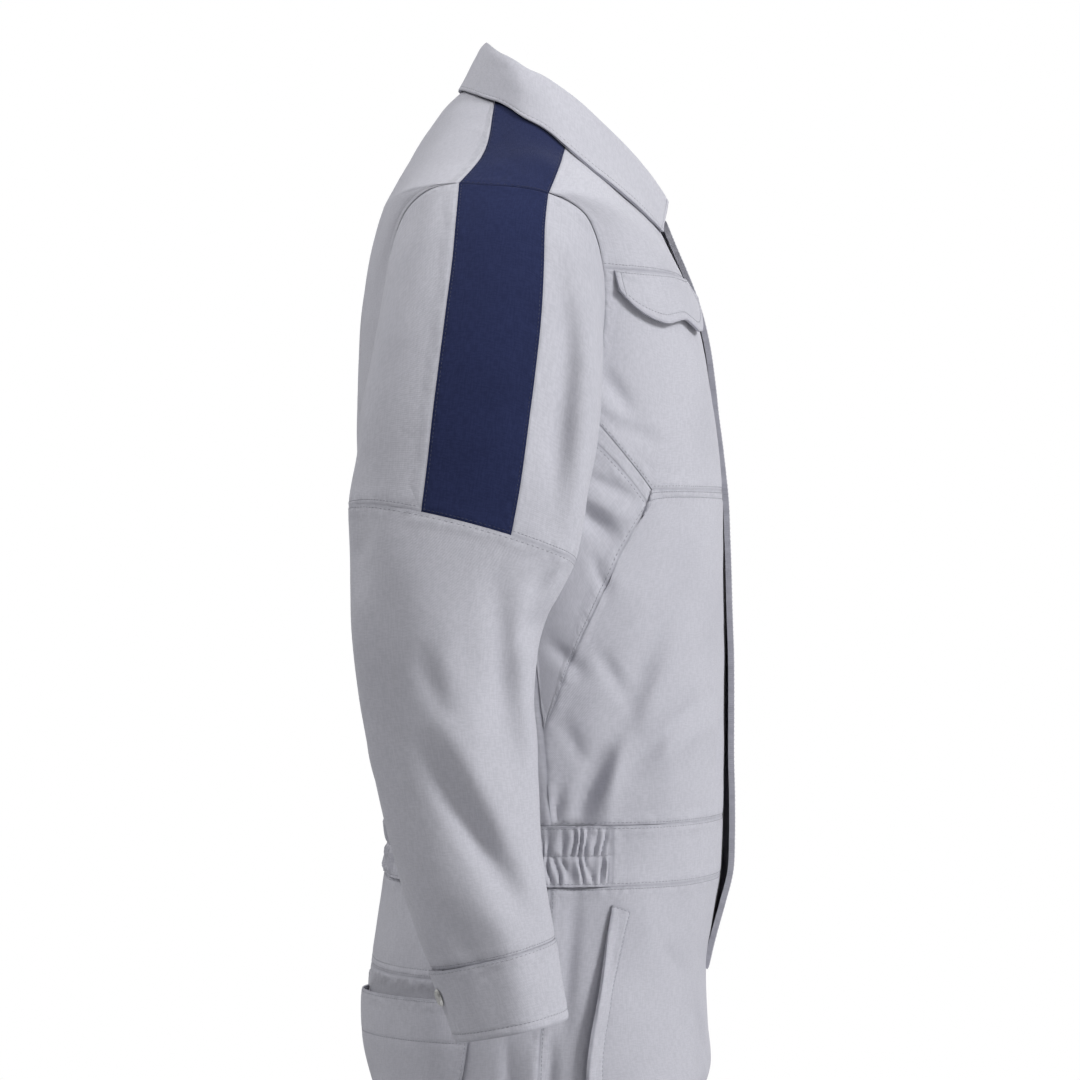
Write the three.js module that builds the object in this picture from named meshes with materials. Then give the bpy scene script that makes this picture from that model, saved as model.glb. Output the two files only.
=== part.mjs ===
// A boiler suit in light grey twill with navy shoulder and sleeve stripes, filled out as if worn.
// Millimetres, +Z up. The wearer faces -Y, so the wearer's right is at -X. The origin is where the
// shoulders carry the suit: between the two points where the shoulder seams meet the neck.
import * as THREE from "three";

// Cloth and seams
const CLOTH = 1.5;
const SEAM_GAP = 0.4;
const LAP_GAP = 0.35;

// Levels of the main seams, as heights at the side of the body
const NECK = 0;
const ARMPIT = -255;
const WAIST_TOP = -521;
const WAIST_BOTTOM = -564;
const FLY_END = -636;
const CROTCH_START = -672;
const CROTCH = -802;
const HEM = -1540;

// Front closure: distances from the centre line
const FRONT_EDGE = 6;
const PLACKET_FREE = 20;
const PLACKET_SEWN = 24;

const ELASTIC_START = 73;
const GATHERS = 72;
const GATHER_DEPTH = 1.7;

const GIRTH_PER_DEGREE = 2.95;

const { lerp, clamp, degToRad } = THREE.MathUtils;
const vec = (x, y, z) => new THREE.Vector3(x, y, z);
const sinDeg = (angle) => Math.sin(degToRad(angle));
const cosDeg = (angle) => Math.cos(degToRad(angle));
const smooth = (t) => THREE.MathUtils.smoothstep(t, 0, 1);

// A table with named columns.
function table(names, ...rows) {
  const keys = names.split(" ");
  return rows.map((row) => Object.fromEntries(keys.map((key, i) => [key, row[i]])));
}

// A smooth function through one column of a table, with no overshoot between its rows.
function track(rows, along, key) {
  const knots = rows.map((row) => [row[along], row[key]]).sort((a, b) => a[0] - b[0]);
  const slopes = knots.slice(1).map(([x, y], i) => (y - knots[i][1]) / (x - knots[i][0]));
  const tangents = knots.map((_, i) => {
    const before = slopes[i - 1] ?? slopes[i];
    const after = slopes[i] ?? slopes[i - 1];
    return before * after <= 0 ? 0 : (2 * before * after) / (before + after);
  });
  const last = knots.length - 1;
  return (x) => {
    if (x <= knots[0][0]) return knots[0][1];
    if (x >= knots[last][0]) return knots[last][1];
    const i = knots.findIndex((knot) => knot[0] > x) - 1;
    const width = knots[i + 1][0] - knots[i][0];
    const t = (x - knots[i][0]) / width;
    const rise = knots[i + 1][1] - knots[i][1];
    const bend = (1 - t) * (tangents[i] * width - rise) - t * (tangents[i + 1] * width - rise);
    return lerp(knots[i][1], knots[i + 1][1], t) + t * (1 - t) * bend;
  };
}

function tracks(rows, along) {
  return Object.fromEntries(Object.keys(rows[0]).map((key) => [key, track(rows, along, key)]));
}

// Body sections from the waist to the neck. Level is the height at the side; front and back heights
// differ above the armpit, where the rings climb over the shoulders.
const TORSO = tracks(
  table(
    "level frontZ backZ half frontY backY sideY frontSquare backSquare",
    [WAIST_BOTTOM, WAIST_BOTTOM, WAIST_BOTTOM, 177, -134, 115, -8, 2.3, 2.3],
    [-542, -542, -542, 174, -135, 112, -8, 2.3, 2.3],
    [WAIST_TOP, WAIST_TOP, WAIST_TOP, 177, -135.5, 115, -8, 2.3, 2.3],
    [-495, -495, -495, 186, -136, 124, -6, 2.3, 2.3],
    [-450, -450, -450, 191, -136.5, 130, -2, 2.3, 2.4],
    [-380, -380, -380, 196, -137, 133, 6, 2.3, 2.5],
    [-300, -300, -300, 202, -136, 135, 18, 2.4, 2.7],
    [ARMPIT, -258, ARMPIT, 205, -133, 135, 25, 2.5, 3.1],
    [-165, -198, -165, 212, -125, 132, 26, 2.6, 3.7],
    [-110, -160, -118, 217, -117, 125, 24, 2.5, 3.8],
    [-70, -135, -82, 222, -110, 116, 22, 2.3, 3.6],
    [-36, -106, -28, 145, -97, 91, 16, 2.1, 2.3],
    [-14, -90, 6, 96, -90, 68, 13, 2.0, 2.0],
    [NECK, -82, 19, 68, -87, 54, 11, 2.0, 2.0],
  ),
  "level",
);

// Soft folds of the body: each runs from one place to another and is deepest at its middle.
// Angle 0 is the centre front, 90 the side and 180 the back; negative depth is a trough.
const TORSO_FOLDS = table(
  "angle level toAngle toLevel width depth",
  [61, -268, 40, -330, 18, -4],
  [72, -300, 44, -350, 16, -3],
  [68, -425, 66, -512, 15, -6],
  [54, -440, 62, -522, 16, 3.5],
  [84, -450, 79, -515, 14, -5],
  [58, -370, 22, -470, 26, 2.5],
  [40, -505, 22, -455, 18, -2.5],
  [124, -105, 119, -280, 18, 5],
  [108, -140, 106, -260, 15, -4],
  [150, -330, 120, -420, 22, -5],
  [168, -280, 140, -350, 20, -3.5],
  [100, -330, 118, -470, 20, -4],
  [150, -450, 146, -515, 15, -5],
  [172, -440, 176, -515, 15, -4],
  [124, -460, 120, -515, 15, -5],
);

// The height that a table's folds add at a place, in millimetres.
function foldsAt(folds, u, v, uScale) {
  let height = 0;
  for (const fold of folds) {
    const fromU = fold.angle * uScale;
    const runU = (fold.toAngle - fold.angle) * uScale;
    const runV = fold.toLevel - fold.level;
    const offU = u * uScale - fromU;
    const offV = v - fold.level;
    const share = clamp((offU * runU + offV * runV) / (runU * runU + runV * runV), 0, 1);
    const away = Math.hypot(offU - share * runU, offV - share * runV) / fold.width;
    height += fold.depth * (0.35 + 0.65 * Math.sin(Math.PI * share)) * Math.exp(-away * away);
  }
  return height;
}

// Soft gathers that fade out above and below the elastic of the waist.
function gathersNearWaist(angle, level) {
  const away = level > WAIST_TOP ? level - WAIST_TOP : WAIST_BOTTOM - level;
  if (away < 0 || angle < ELASTIC_START - 8) return 0;
  const fade = Math.exp(-away / 26) * smooth((angle - ELASTIC_START + 8) / 12);
  return 2.2 * fade * Math.sin(angle * 0.62) * Math.sin(1.1 + angle * 0.41);
}

// Splits an angle round the body into its side, -1 on the wearer's right, and its size.
function sideOf(angle) {
  const turned = ((((angle + 180) % 360) + 360) % 360) - 180;
  return [turned < 0 ? -1 : 1, Math.abs(turned)];
}

function torsoBase(angle, level) {
  const [side, size] = sideOf(angle);
  const isFront = size <= 90;
  const power = 2 / (isFront ? TORSO.frontSquare(level) : TORSO.backSquare(level));
  const across = Math.pow(Math.abs(sinDeg(size)), power);
  const deep = Math.pow(Math.abs(cosDeg(size)), power);
  const sideY = TORSO.sideY(level);
  const endY = isFront ? TORSO.frontY(level) : TORSO.backY(level);
  const endZ = isFront ? TORSO.frontZ(level) : TORSO.backZ(level);
  return vec(
    side * TORSO.half(level) * across,
    lerp(sideY, endY, deep),
    lerp(level, endZ, cosDeg(size) ** 2),
  );
}

// The outward direction of a surface at a place, away from a point inside it.
function normalOf(point, insideOf, u, v, stepU, stepV) {
  const alongU = point(u + stepU, v).sub(point(u - stepU, v));
  const alongV = point(u, v + stepV).sub(point(u, v - stepV));
  const normal = alongU.cross(alongV).normalize();
  const out = point(u, v).sub(insideOf(u, v));
  return normal.dot(out) < 0 ? normal.negate() : normal;
}

const torso = {
  base: torsoBase,
  normal: (angle, level) =>
    normalOf(torsoBase, (_, z) => vec(0, 0, z - 60), angle, Math.min(level, -1), 0.6, 1.5),
  bump: (angle, level) => {
    const size = sideOf(angle)[1];
    const free = smooth((size - 6) / 14) * smooth(-level / 60);
    return free * foldsAt(TORSO_FOLDS, size, level, GIRTH_PER_DEGREE) + gathersNearWaist(size, level);
  },
};

// The angle at which the body is a given distance from the centre line in front.
function frontAngle(x, level) {
  const share = Math.abs(x) / TORSO.half(level);
  return (Math.sign(x) * Math.asin(Math.pow(share, TORSO.frontSquare(level) / 2)) * 180) / Math.PI;
}

// The trousers: a half ring each side above the crotch, that closes to a leg below it.
// Angle 0 is the centre front seam or the inseam, 90 the side seam, 180 the centre back.
const LEG = tracks(
  table(
    "level inner outer frontY backY sideY square",
    [WAIST_BOTTOM, 0.2, 177, -134, 115, -8, 2.3],
    [-600, 0.2, 184, -128, 121, -6, 2.3],
    [-636, 0.2, 190, -123.5, 126, -3, 2.3],
    [-672, 0.2, 194, -124.5, 128, 0, 2.3],
    [-720, 0.2, 197, -133, 129, 2, 2.2],
    [-760, 0.4, 198, -133, 129, 4, 2.1],
    [CROTCH, 0.8, 197, -124, 127, 5, 2],
    [-860, 5, 193, -114, 118, 4, 2],
    [-950, 10, 187, -103, 104, 2, 2],
    [-1080, 18, 180.4, -95, 90, 0.3, 2],
    [-1130, 21, 178.3, -95, 85, -1.8, 2],
    [-1250, 26, 176, -88, 86, 0, 2],
    [-1400, 32, 174, -84, 84, 0, 2],
    [HEM, 36, 172, -80, 82, 1, 2],
  ),
  "level",
);

const LEG_FOLDS = table(
  "angle level toAngle toLevel width depth",
  [74, -570, 70, -650, 9, -3],
  [92, -572, 96, -690, 14, 3],
  [108, -575, 112, -640, 9, -3],
  [20, -770, 60, -700, 16, -4],
  [24, -830, 62, -800, 18, -4],
  [160, -800, 118, -760, 18, -4],
  [150, -1090, 100, -1110, 12, -5],
  [160, -1130, 110, -1160, 12, -5],
  [38, -1060, 66, -1190, 16, 4],
  [70, -1150, 30, -1190, 14, -4],
  [40, -1470, 76, -1440, 13, -5],
  [130, -1480, 100, -1450, 13, -5],
);

function legBase(side) {
  return (angle, level) => {
    const size = clamp(angle, 0, 180);
    const isFront = size <= 90;
    const share = clamp((CROTCH_START - level) / (CROTCH_START - CROTCH), 0, 1);
    const under = 1 - Math.sqrt(1 - share * share);
    const closed = lerp(under, smooth(share), smooth(Math.min(size, 180 - size) / 42));
    const [inner, outer, sideY] = [LEG.inner(level), LEG.outer(level), LEG.sideY(level)];
    const endY = isFront ? LEG.frontY(level) : LEG.backY(level);
    const power = 2 / LEG.square(level);
    const openX = inner + (outer - inner) * Math.pow(Math.abs(sinDeg(size)), power);
    const openY = lerp(sideY, endY, Math.pow(Math.abs(cosDeg(size)), power));
    const closedX = (inner + outer) / 2 - ((outer - inner) / 2) * cosDeg(2 * size);
    const closedY = lerp(sideY, endY, Math.abs(sinDeg(2 * size)));
    return vec(side * lerp(openX, closedX, closed), lerp(openY, closedY, closed), level);
  };
}

function legSurface(side) {
  const base = legBase(side);
  const reach = (level) => (level > CROTCH_START ? 0 : 0.45 * LEG.outer(level));
  return {
    base,
    normal: (angle, level) =>
      normalOf(
        base,
        (_, z) => vec(side * reach(z), LEG.sideY(z), z),
        clamp(angle, 0.7, 179.3),
        clamp(level, HEM + 2, WAIST_BOTTOM - 2),
        0.6,
        1.5,
      ),
    bump: (angle, level) => {
      const seam = smooth(Math.min(angle, 180 - angle) / 12);
      return seam * foldsAt(LEG_FOLDS, angle, level, GIRTH_PER_DEGREE) + gathersNearWaist(angle, level);
    },
  };
}

// The armhole on the body: phi runs round the sleeve from 0 at the shoulder over 90 in front and
// 180 at the armpit to 270 behind.
const ARMHOLE_ROWS = table(
  "phi angle level",
  [0, 90, -69.8],
  [26, 80.3, -72.7],
  [45, 72.5, -77.6],
  [60, 67.8, -88],
  [80, 66.2, -118.9],
  [95, 67, -146],
  [112, 69.8, -184],
  [130, 74.6, -222],
  [140, 77.6, -233],
  [160, 83.8, -249],
  [180, 90, ARMPIT],
  [205, 102, -246],
  [230, 118, -218],
  [250, 127, -182],
  [270, 131, -144],
  [288, 130.5, -110],
  [302, 126.4, -88.5],
  [318, 119.5, -73.5],
  [343, 100.1, -67.2],
);
const ARMHOLE = tracks(
  [-360, 0, 360].flatMap((turn) => ARMHOLE_ROWS.map((row) => ({ ...row, phi: row.phi + turn }))),
  "phi",
);
const armhole = (phi) => [ARMHOLE.angle(phi), ARMHOLE.level(phi)];

// Sleeve sections: the outer and inner points of each ring, its middle and half depth front to
// back, and how much its front is higher than its middle.
const SLEEVE_ROWS = table(
  "outX outZ inX inZ midY halfY rise",
  [223, -70, 205, ARMPIT, 28, 72, 0],
  [245, -90, 206, -262, 32, 76, -1],
  [268, -126, 207, -272, 36, 80, -4],
  [291, -176, 208, -285, 41, 82, -8],
  [305, -235, 210, -303, 47, 81, -14],
  [313, -305, 212, -324, 54, 79, -20],
  [317, -342, 213, -352, 62, 70, -15],
  [321, -398, 216, -402, 66, 63, -6],
  [326, -465, 223, -465, 59.5, 58, 0],
  [330, -530, 233, -528, 50, 51.5, 3],
  [334, -572, 243, -570, 41, 46.5, 7],
  [336, -602, 249, -600, 32, 42, 10.5],
  [337, -652, 259, -652, 18, 37.5, 7.5],
);
SLEEVE_ROWS.forEach((row, i) => {
  const before = SLEEVE_ROWS[i - 1];
  const step = before ? Math.hypot(row.outX - before.outX, row.outZ - before.outZ) : 0;
  row.along = before ? before.along + step : 0;
});
const SLEEVE = tracks(SLEEVE_ROWS, "along");
const ELBOW_SEAM = SLEEVE_ROWS[5].along;
const CUFF_SEAM = SLEEVE_ROWS[11].along;
const CUFF_END = SLEEVE_ROWS[12].along;
const STRIPE_BACK_TOP = -17;
const STRIPE_BACK = -20;
const STRIPE_FRONT = 26;
const STRIPE_BOW = 3.5;
const CAP_BLEND = 95;
const SLEEVE_SHARES = [0, 0.12, 0.26, 0.42, 0.58, 0.74, 0.88, 1];

const SLEEVE_FOLDS = table(
  "angle level toAngle toLevel width depth",
  [50, 90, 46, 235, 15, -6],
  [72, 70, 66, 250, 12, 3],
  [66, 268, 84, 296, 15, 5],
  [84, 306, 58, 326, 15, -6],
  [10, 330, 52, 440, 18, -4],
  [-20, 300, 30, 470, 20, 4],
  [0, 430, 40, 520, 18, -3.5],
  [-60, 250, -80, 330, 18, -4],
  [-86, 300, -50, 360, 16, 4],
  [-100, 180, -60, 240, 18, -4],
  [150, 160, 110, 250, 18, -5],
  [210, 240, 250, 300, 18, -5],
  [230, 330, 200, 420, 18, 4],
  [140, 340, 180, 430, 18, -4],
);

function sleeveRing(phi, along) {
  const [outX, outZ, inX, inZ] = ["outX", "outZ", "inX", "inZ"].map((key) => SLEEVE[key](along));
  const lean = (1 + cosDeg(phi)) / 2;
  return vec(
    lerp(inX, outX, lean),
    SLEEVE.midY(along) - SLEEVE.halfY(along) * sinDeg(phi),
    lerp(inZ, outZ, lean) + SLEEVE.rise(along) * sinDeg(phi),
  );
}

// The sleeve starts exactly on the armhole of the body and soon takes its own rings.
function sleeveBase(side) {
  return (phi, along) => {
    const point = sleeveRing(phi, along);
    if (along < CAP_BLEND) {
      const [angle, level] = armhole(phi);
      const start = torsoBase(angle, level).sub(sleeveRing(phi, 0));
      point.addScaledVector(start, (1 - along / CAP_BLEND) ** 2);
    }
    point.x *= side;
    return point;
  };
}

function sleeveSurface(side) {
  const base = sleeveBase(side);
  const middle = (_, along) => base(0, along).add(base(180, along)).multiplyScalar(0.5);
  return {
    base,
    normal: (phi, along) => normalOf(base, middle, phi, clamp(along, 2, CUFF_END - 2), 1, 2),
    bump: (phi, along) => {
      const turned = (((phi % 360) + 450) % 360) - 90;
      const free = smooth(along / 50) * smooth((CUFF_SEAM - along) / 30);
      return free * foldsAt(SLEEVE_FOLDS, turned, along, 1.2);
    },
  };
}

// How a body piece or a sleeve piece ends at the armhole. Where the cloth runs on smoothly or folds
// outwards, both take one shared direction, so their edges mitre. Where it folds inwards, as at the
// armpit, each keeps its own direction and sinks a little, so that the two lie back to back.
function armholeEnd(side, phi, isSleeve) {
  const [angle, level] = armhole(phi);
  const normals = [torso.normal(side * angle, level), sleeves[side].normal(phi, 3)];
  const share = smooth((normals[0].dot(normals[1]) + 0.2) / 0.8);
  const [own, other] = isSleeve ? normals.reverse() : normals;
  return { direction: own.addScaledVector(other, share).normalize(), sink: ((1 - share) * SEAM_GAP) / 2 };
}

const sleeves = { [-1]: sleeveSurface(-1), 1: sleeveSurface(1) };
const legs = { [-1]: legSurface(-1), 1: legSurface(1) };

// A place on a surface: its two coordinates and, at an armhole, how the cloth ends there.
const at = (u, v, end) => ({ u, v, end });
const bodyAt = (side) => (angle, level) => at(side * angle, level);
const armholeAt = (side, phi) => {
  const [angle, level] = armhole(phi);
  return at(side * angle, level, armholeEnd(side, phi, false));
};
const sleeveTopAt = (side, phi) => at(phi, 0, armholeEnd(side, phi, true));

// Evenly spaced places along a smooth line through the given ones.
function run(places, steps) {
  const points = places.map((place) => vec(place.u * GIRTH_PER_DEGREE, place.v, 0));
  const curve = new THREE.CatmullRomCurve3(points, false, "centripetal");
  return curve.getSpacedPoints(steps).map((p) => at(p.x / GIRTH_PER_DEGREE, p.y));
}

// The place at an angle round the body whose real height is z.
function placeAtHeight(side, angle, z) {
  let [low, high] = [WAIST_BOTTOM, NECK];
  for (let i = 0; i < 30; i++) {
    const middle = (low + high) / 2;
    if (torsoBase(angle, middle).z < z) low = middle;
    else high = middle;
  }
  return at(side * angle, low);
}

// Places at one real height, evenly spaced between two angles.
function heightRun(side, from, to, z, steps) {
  return Array.from({ length: steps + 1 }, (_, i) => placeAtHeight(side, lerp(from, to, i / steps), z));
}

// Stations along the armhole from one angle round the sleeve to another.
function armholeRun(side, from, to, steps) {
  return Array.from({ length: steps + 1 }, (_, i) => armholeAt(side, lerp(from, to, i / steps)));
}

const join = (...lines) => lines.flatMap((line, i) => (i ? line.slice(1) : line));

// Fills the area inside four boundary lines with a grid of places.
function patch(bottom, top, left, right) {
  const columns = bottom.length - 1;
  const rows = left.length - 1;
  const blend = (key, i, j, s, t) =>
    lerp(bottom[i][key], top[i][key], t) +
    lerp(left[j][key], right[j][key], s) -
    lerp(lerp(bottom[0][key], bottom[columns][key], s), lerp(top[0][key], top[columns][key], s), t);
  return left.map((_, j) =>
    bottom.map((__, i) => {
      const place = at(blend("u", i, j, i / columns, j / rows), blend("v", i, j, i / columns, j / rows));
      const edge = { 0: left[j], [columns]: right[j] }[i] ?? { 0: bottom[i], [rows]: top[i] }[j];
      place.end = edge?.end;
      return place;
    }),
  );
}

function levelsFrom(from, to, steps) {
  return Array.from({ length: steps + 1 }, (_, i) => lerp(from, to, i / steps));
}

// Evenly spaced places at one level.
function levelLine(fromU, toU, v, columns) {
  return Array.from({ length: columns + 1 }, (_, i) => at(lerp(fromU, toU, i / columns), v));
}

// A grid over a plain rectangle of the surface.
function rectangle(fromU, toU, fromV, toV, columns, rows) {
  const levels = levelsFrom(fromV, toV, rows);
  return levels.map((level) => levelLine(fromU, toU, level, columns));
}

const COLOURS = { grey: 0xc6c6ce, navy: 0x262d47, tape: 0x9b9ca4, metal: 0x9a9a94 };
const materials = Object.fromEntries(
  Object.entries(COLOURS).map(([name, color]) => [
    name,
    new THREE.MeshStandardMaterial({
      color,
      roughness: name === "metal" ? 0.4 : 0.9,
      metalness: name === "metal" ? 0.8 : 0,
    }),
  ]),
);

const suit = new THREE.Group();

// The edge of a grid as a closed round of its rows and columns.
function rimOf(rows, columns) {
  const rim = [];
  for (let i = 0; i < columns - 1; i++) rim.push([0, i]);
  for (let j = 0; j < rows - 1; j++) rim.push([j, columns - 1]);
  for (let i = columns - 1; i > 0; i--) rim.push([rows - 1, i]);
  for (let j = rows - 1; j > 0; j--) rim.push([j, 0]);
  return rim;
}

// Points are kept to a hundredth of a millimetre.
const GRAIN = 0.01;
const toGrain = (point) => point.clone().divideScalar(GRAIN).round().multiplyScalar(GRAIN);

// Closes two grids of points, the outside and the inside of a wall, to one solid piece.
function addWall(name, outer, inner, material) {
  const rows = outer.length;
  const columns = outer[0].length;
  const points = [...outer.flat(), ...inner.flat()].map(toGrain);
  const id = (face, j, i) => face * rows * columns + j * columns + i;
  const faces = [];
  const quad = (a, b, c, d) => faces.push(a, b, c, a, c, d);
  const rim = rimOf(rows, columns);
  rim.forEach(([j, i], k) => {
    const [nextJ, nextI] = rim[(k + 1) % rim.length];
    quad(id(0, nextJ, nextI), id(0, j, i), id(1, j, i), id(1, nextJ, nextI));
  });
  for (let j = 0; j < rows - 1; j++) {
    for (let i = 0; i < columns - 1; i++) {
      quad(id(0, j, i), id(0, j, i + 1), id(0, j + 1, i + 1), id(0, j + 1, i));
      quad(id(1, j, i), id(1, j + 1, i), id(1, j + 1, i + 1), id(1, j, i + 1));
    }
  }
  let volume = 0;
  for (let k = 0; k < faces.length; k += 3) {
    volume += points[faces[k]].dot(points[faces[k + 1]].clone().cross(points[faces[k + 2]]));
  }
  if (volume < 0) faces.reverse();
  const geometry = new THREE.BufferGeometry().setFromPoints(points).setIndex(faces);
  const mesh = new THREE.Mesh(geometry, materials[material]);
  mesh.name = name;
  suit.add(mesh);
  return mesh;
}

// Draws the edges of a piece back from its seams, square to each edge and along the cloth. Along an
// armhole, the direction in which the cloth ends stands in for the normal.
function trimEdges(grid, places, normals) {
  const rim = rimOf(grid.length, grid[0].length);
  const trimmed = grid.map((line) => line.map((point) => point.clone()));
  const squareTo = (k, step) => {
    const [j, i] = rim[k % rim.length];
    const [nextJ, nextI] = rim[(k + step + rim.length) % rim.length];
    const along = grid[nextJ][nextI].clone().sub(grid[j][i]);
    const end = places[nextJ][nextI].end && places[j][i].end;
    return along.multiplyScalar(step).cross(end ? end.direction : normals[j][i]).normalize();
  };
  const sign = Math.sign(squareTo(1, 1).dot(grid[1][1].clone().sub(grid[0][1])));
  rim.forEach(([j, i], k) => {
    const [before, after] = [squareTo(k, -1), squareTo(k, 1)];
    const reach = SEAM_GAP / 2 / Math.max(1 + before.dot(after), 0.35);
    trimmed[j][i].addScaledVector(before.add(after), sign * reach);
    const end = places[j][i].end;
    if (end) trimmed[j][i].addScaledVector(end.direction, -end.sink);
  });
  return trimmed;
}

// A cloth piece over a grid of places. Lift is how far its inside stands off the surface's wall.
function addCloth(name, surface, grid, { lift = 0, thick = CLOTH, material = "grey", wave } = {}) {
  const rows = grid.length - 1;
  const columns = grid[0].length - 1;
  const normals = grid.map((line) => line.map((p) => surface.normal(p.u, p.v)));
  const outward = grid.map((line, j) => line.map((p, i) => p.end?.direction ?? normals[j][i]));
  const raised = grid.map((line, j) =>
    line.map((p, i) => {
      const off = typeof lift === "function" ? lift(i / columns, j / rows) : lift;
      const folds = p.end ? 0 : surface.bump(p.u, p.v);
      const shape = wave ? wave(p.u, i, j) : 0;
      return surface.base(p.u, p.v).addScaledVector(outward[j][i], off + folds + shape);
    }),
  );
  const outer = trimEdges(raised, grid, normals);
  const inner = outer.map((line, j) =>
    line.map((p, i) => p.clone().addScaledVector(outward[j][i], -thick)),
  );
  return addWall(name, outer, inner, material);
}

// The lift that puts a piece just outside the one that it lies on.
const OVER = CLOTH + LAP_GAP;
const SIDES = [
  [-1, "right"],
  [1, "left"],
];

// The front edge of each side, which opens to a small V below the collar.
const FRONT_OPEN = track(
  table("level edge", [NECK, 15], [-40, 11], [-80, FRONT_EDGE], [WAIST_BOTTOM, FRONT_EDGE]),
  "level",
  "edge",
);
const frontEdgeAt = (side, level) => at(frontAngle(side * FRONT_OPEN(level), level), level);
const frontEdgeRun = (side, from, to, steps) =>
  Array.from({ length: steps + 1 }, (_, i) => frontEdgeAt(side, lerp(from, to, i / steps)));

// Real heights of the level seams in front, and the ends of the slanted ones as angle and level
const YOKE_SEAM_HEIGHT = -127;
const CHEST_SEAM_HEIGHT = -281.5;
const CHEST_CORNER = [53.1, -281.8];
const WELT_FOOT_CORNER = [54.3, -293];
const SIDE_TIP = -452;
const SHOULDER_FRONT = [66, NECK];
const SHOULDER_BACK = [121, NECK];

const yokeSeam = (side, steps) =>
  heightRun(side, frontAngle(FRONT_EDGE, -62), ARMHOLE.angle(80), YOKE_SEAM_HEIGHT, steps).map(
    (place, i) => (i === steps ? armholeAt(side, 80) : place),
  );

function stripeEdge(side, isFront) {
  const b = bodyAt(side);
  const [phi, ...rest] = isFront
    ? [STRIPE_FRONT, [77.7, -58.3], [75.1, -43.6], [72.5, -26], SHOULDER_FRONT]
    : [STRIPE_BACK_TOP, [100.3, -55.1], [103, -40.8], [110.3, -20.6], SHOULDER_BACK];
  const line = run([b(...armhole(phi)), ...rest.map((place) => b(...place))], 4);
  return [armholeAt(side, phi), ...line.slice(1)];
}

function addFrontPanels(side, label) {
  const b = bodyAt(side);
  const edgeLevel = (z) => placeAtHeight(side, frontAngle(FRONT_EDGE, z / 2), z).v;
  const [yokeLevel, chestLevel] = [edgeLevel(YOKE_SEAM_HEIGHT), edgeLevel(CHEST_SEAM_HEIGHT)];
  const corner = b(...CHEST_CORNER);
  const footCorner = b(...WELT_FOOT_CORNER);
  const weltLine = (start, middle, phi) => [
    ...run([start, b(...middle), b(...armhole(phi))], 4).slice(0, -1),
    armholeAt(side, phi),
  ];
  const weltTop = weltLine(corner, [63.5, -253.6], 130);
  const weltFoot = weltLine(footCorner, [65, -264], 140);
  const chestStart = frontAngle(FRONT_EDGE, chestLevel);
  const chestRun = heightRun(side, chestStart, CHEST_CORNER[0], CHEST_SEAM_HEIGHT, 6);
  const chestSeam = [...chestRun.slice(0, -1), corner];
  const diagonal = run([b(90, SIDE_TIP), b(82.4, -404), b(72.7, -360.4), b(63.6, -321.6), footCorner], 8);
  const sideSeam = [
    ...run([b(90, SIDE_TIP + 12), b(90, ARMPIT)], 5).slice(0, -1),
    ...armholeRun(side, 180, 140, 3),
  ];

  addCloth(
    `front_yoke_${label}`,
    torso,
    patch(
      yokeSeam(side, 10),
      run([frontEdgeAt(side, NECK), b(34, NECK), b(...SHOULDER_FRONT)], 10),
      frontEdgeRun(side, yokeLevel, NECK, 8),
      join(armholeRun(side, 80, STRIPE_FRONT, 4), stripeEdge(side, true)),
    ),
  );
  addCloth(
    `chest_${label}`,
    torso,
    patch(
      join(chestSeam, weltTop),
      yokeSeam(side, 10),
      frontEdgeRun(side, chestLevel, yokeLevel, 5),
      armholeRun(side, 130, 80, 5),
    ),
  );
  addCloth(
    `chest_welt_${label}`,
    torso,
    patch(weltFoot, weltTop, [footCorner, corner], [armholeAt(side, 140), armholeAt(side, 130)]),
    { lift: -0.4, thick: 1 },
  );
  addCloth(
    `side_front_${label}`,
    torso,
    patch(run([b(90, SIDE_TIP), b(90, SIDE_TIP + 12)], 4), weltFoot, diagonal, sideSeam),
  );
  const waist = run([frontEdgeAt(side, WAIST_TOP), b(45, WAIST_TOP), b(90, WAIST_TOP)], 7);
  addCloth(
    `lower_front_${label}`,
    torso,
    patch(
      waist,
      [...chestSeam, footCorner],
      frontEdgeRun(side, WAIST_TOP, chestLevel, 11),
      join(run([b(90, WAIST_TOP), b(90, SIDE_TIP)], 3), diagonal),
    ),
  );
}

function addShoulderPanel(side, label) {
  const b = bodyAt(side);
  const neck = run([b(...SHOULDER_FRONT), b(94, NECK), b(...SHOULDER_BACK)], 4);
  addCloth(
    `shoulder_panel_${label}`,
    torso,
    patch(
      armholeRun(side, STRIPE_FRONT, STRIPE_BACK_TOP, 4),
      neck,
      stripeEdge(side, true),
      stripeEdge(side, false),
    ),
    { material: "navy" },
  );
}

// The back is one piece from side seam to side seam. Angles over 180 are on the wearer's right.
function addBack() {
  const edge = (side) =>
    join(
      [...run([at(side * 90, WAIST_TOP), at(side * 90, ARMPIT)], 7).slice(0, -1), armholeAt(side, 180)],
      armholeRun(side, 180, 360 + STRIPE_BACK_TOP, 10),
      stripeEdge(side, false),
    );
  const right = edge(-1).map((place) => ({ ...place, u: place.u + 360 }));
  const waist = levelLine(90, 270, WAIST_TOP, 16);
  const neck = levelLine(SHOULDER_BACK[0], 360 - SHOULDER_BACK[0], NECK, 16);
  addCloth("back", torso, patch(waist, neck, edge(1), right));
}

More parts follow.
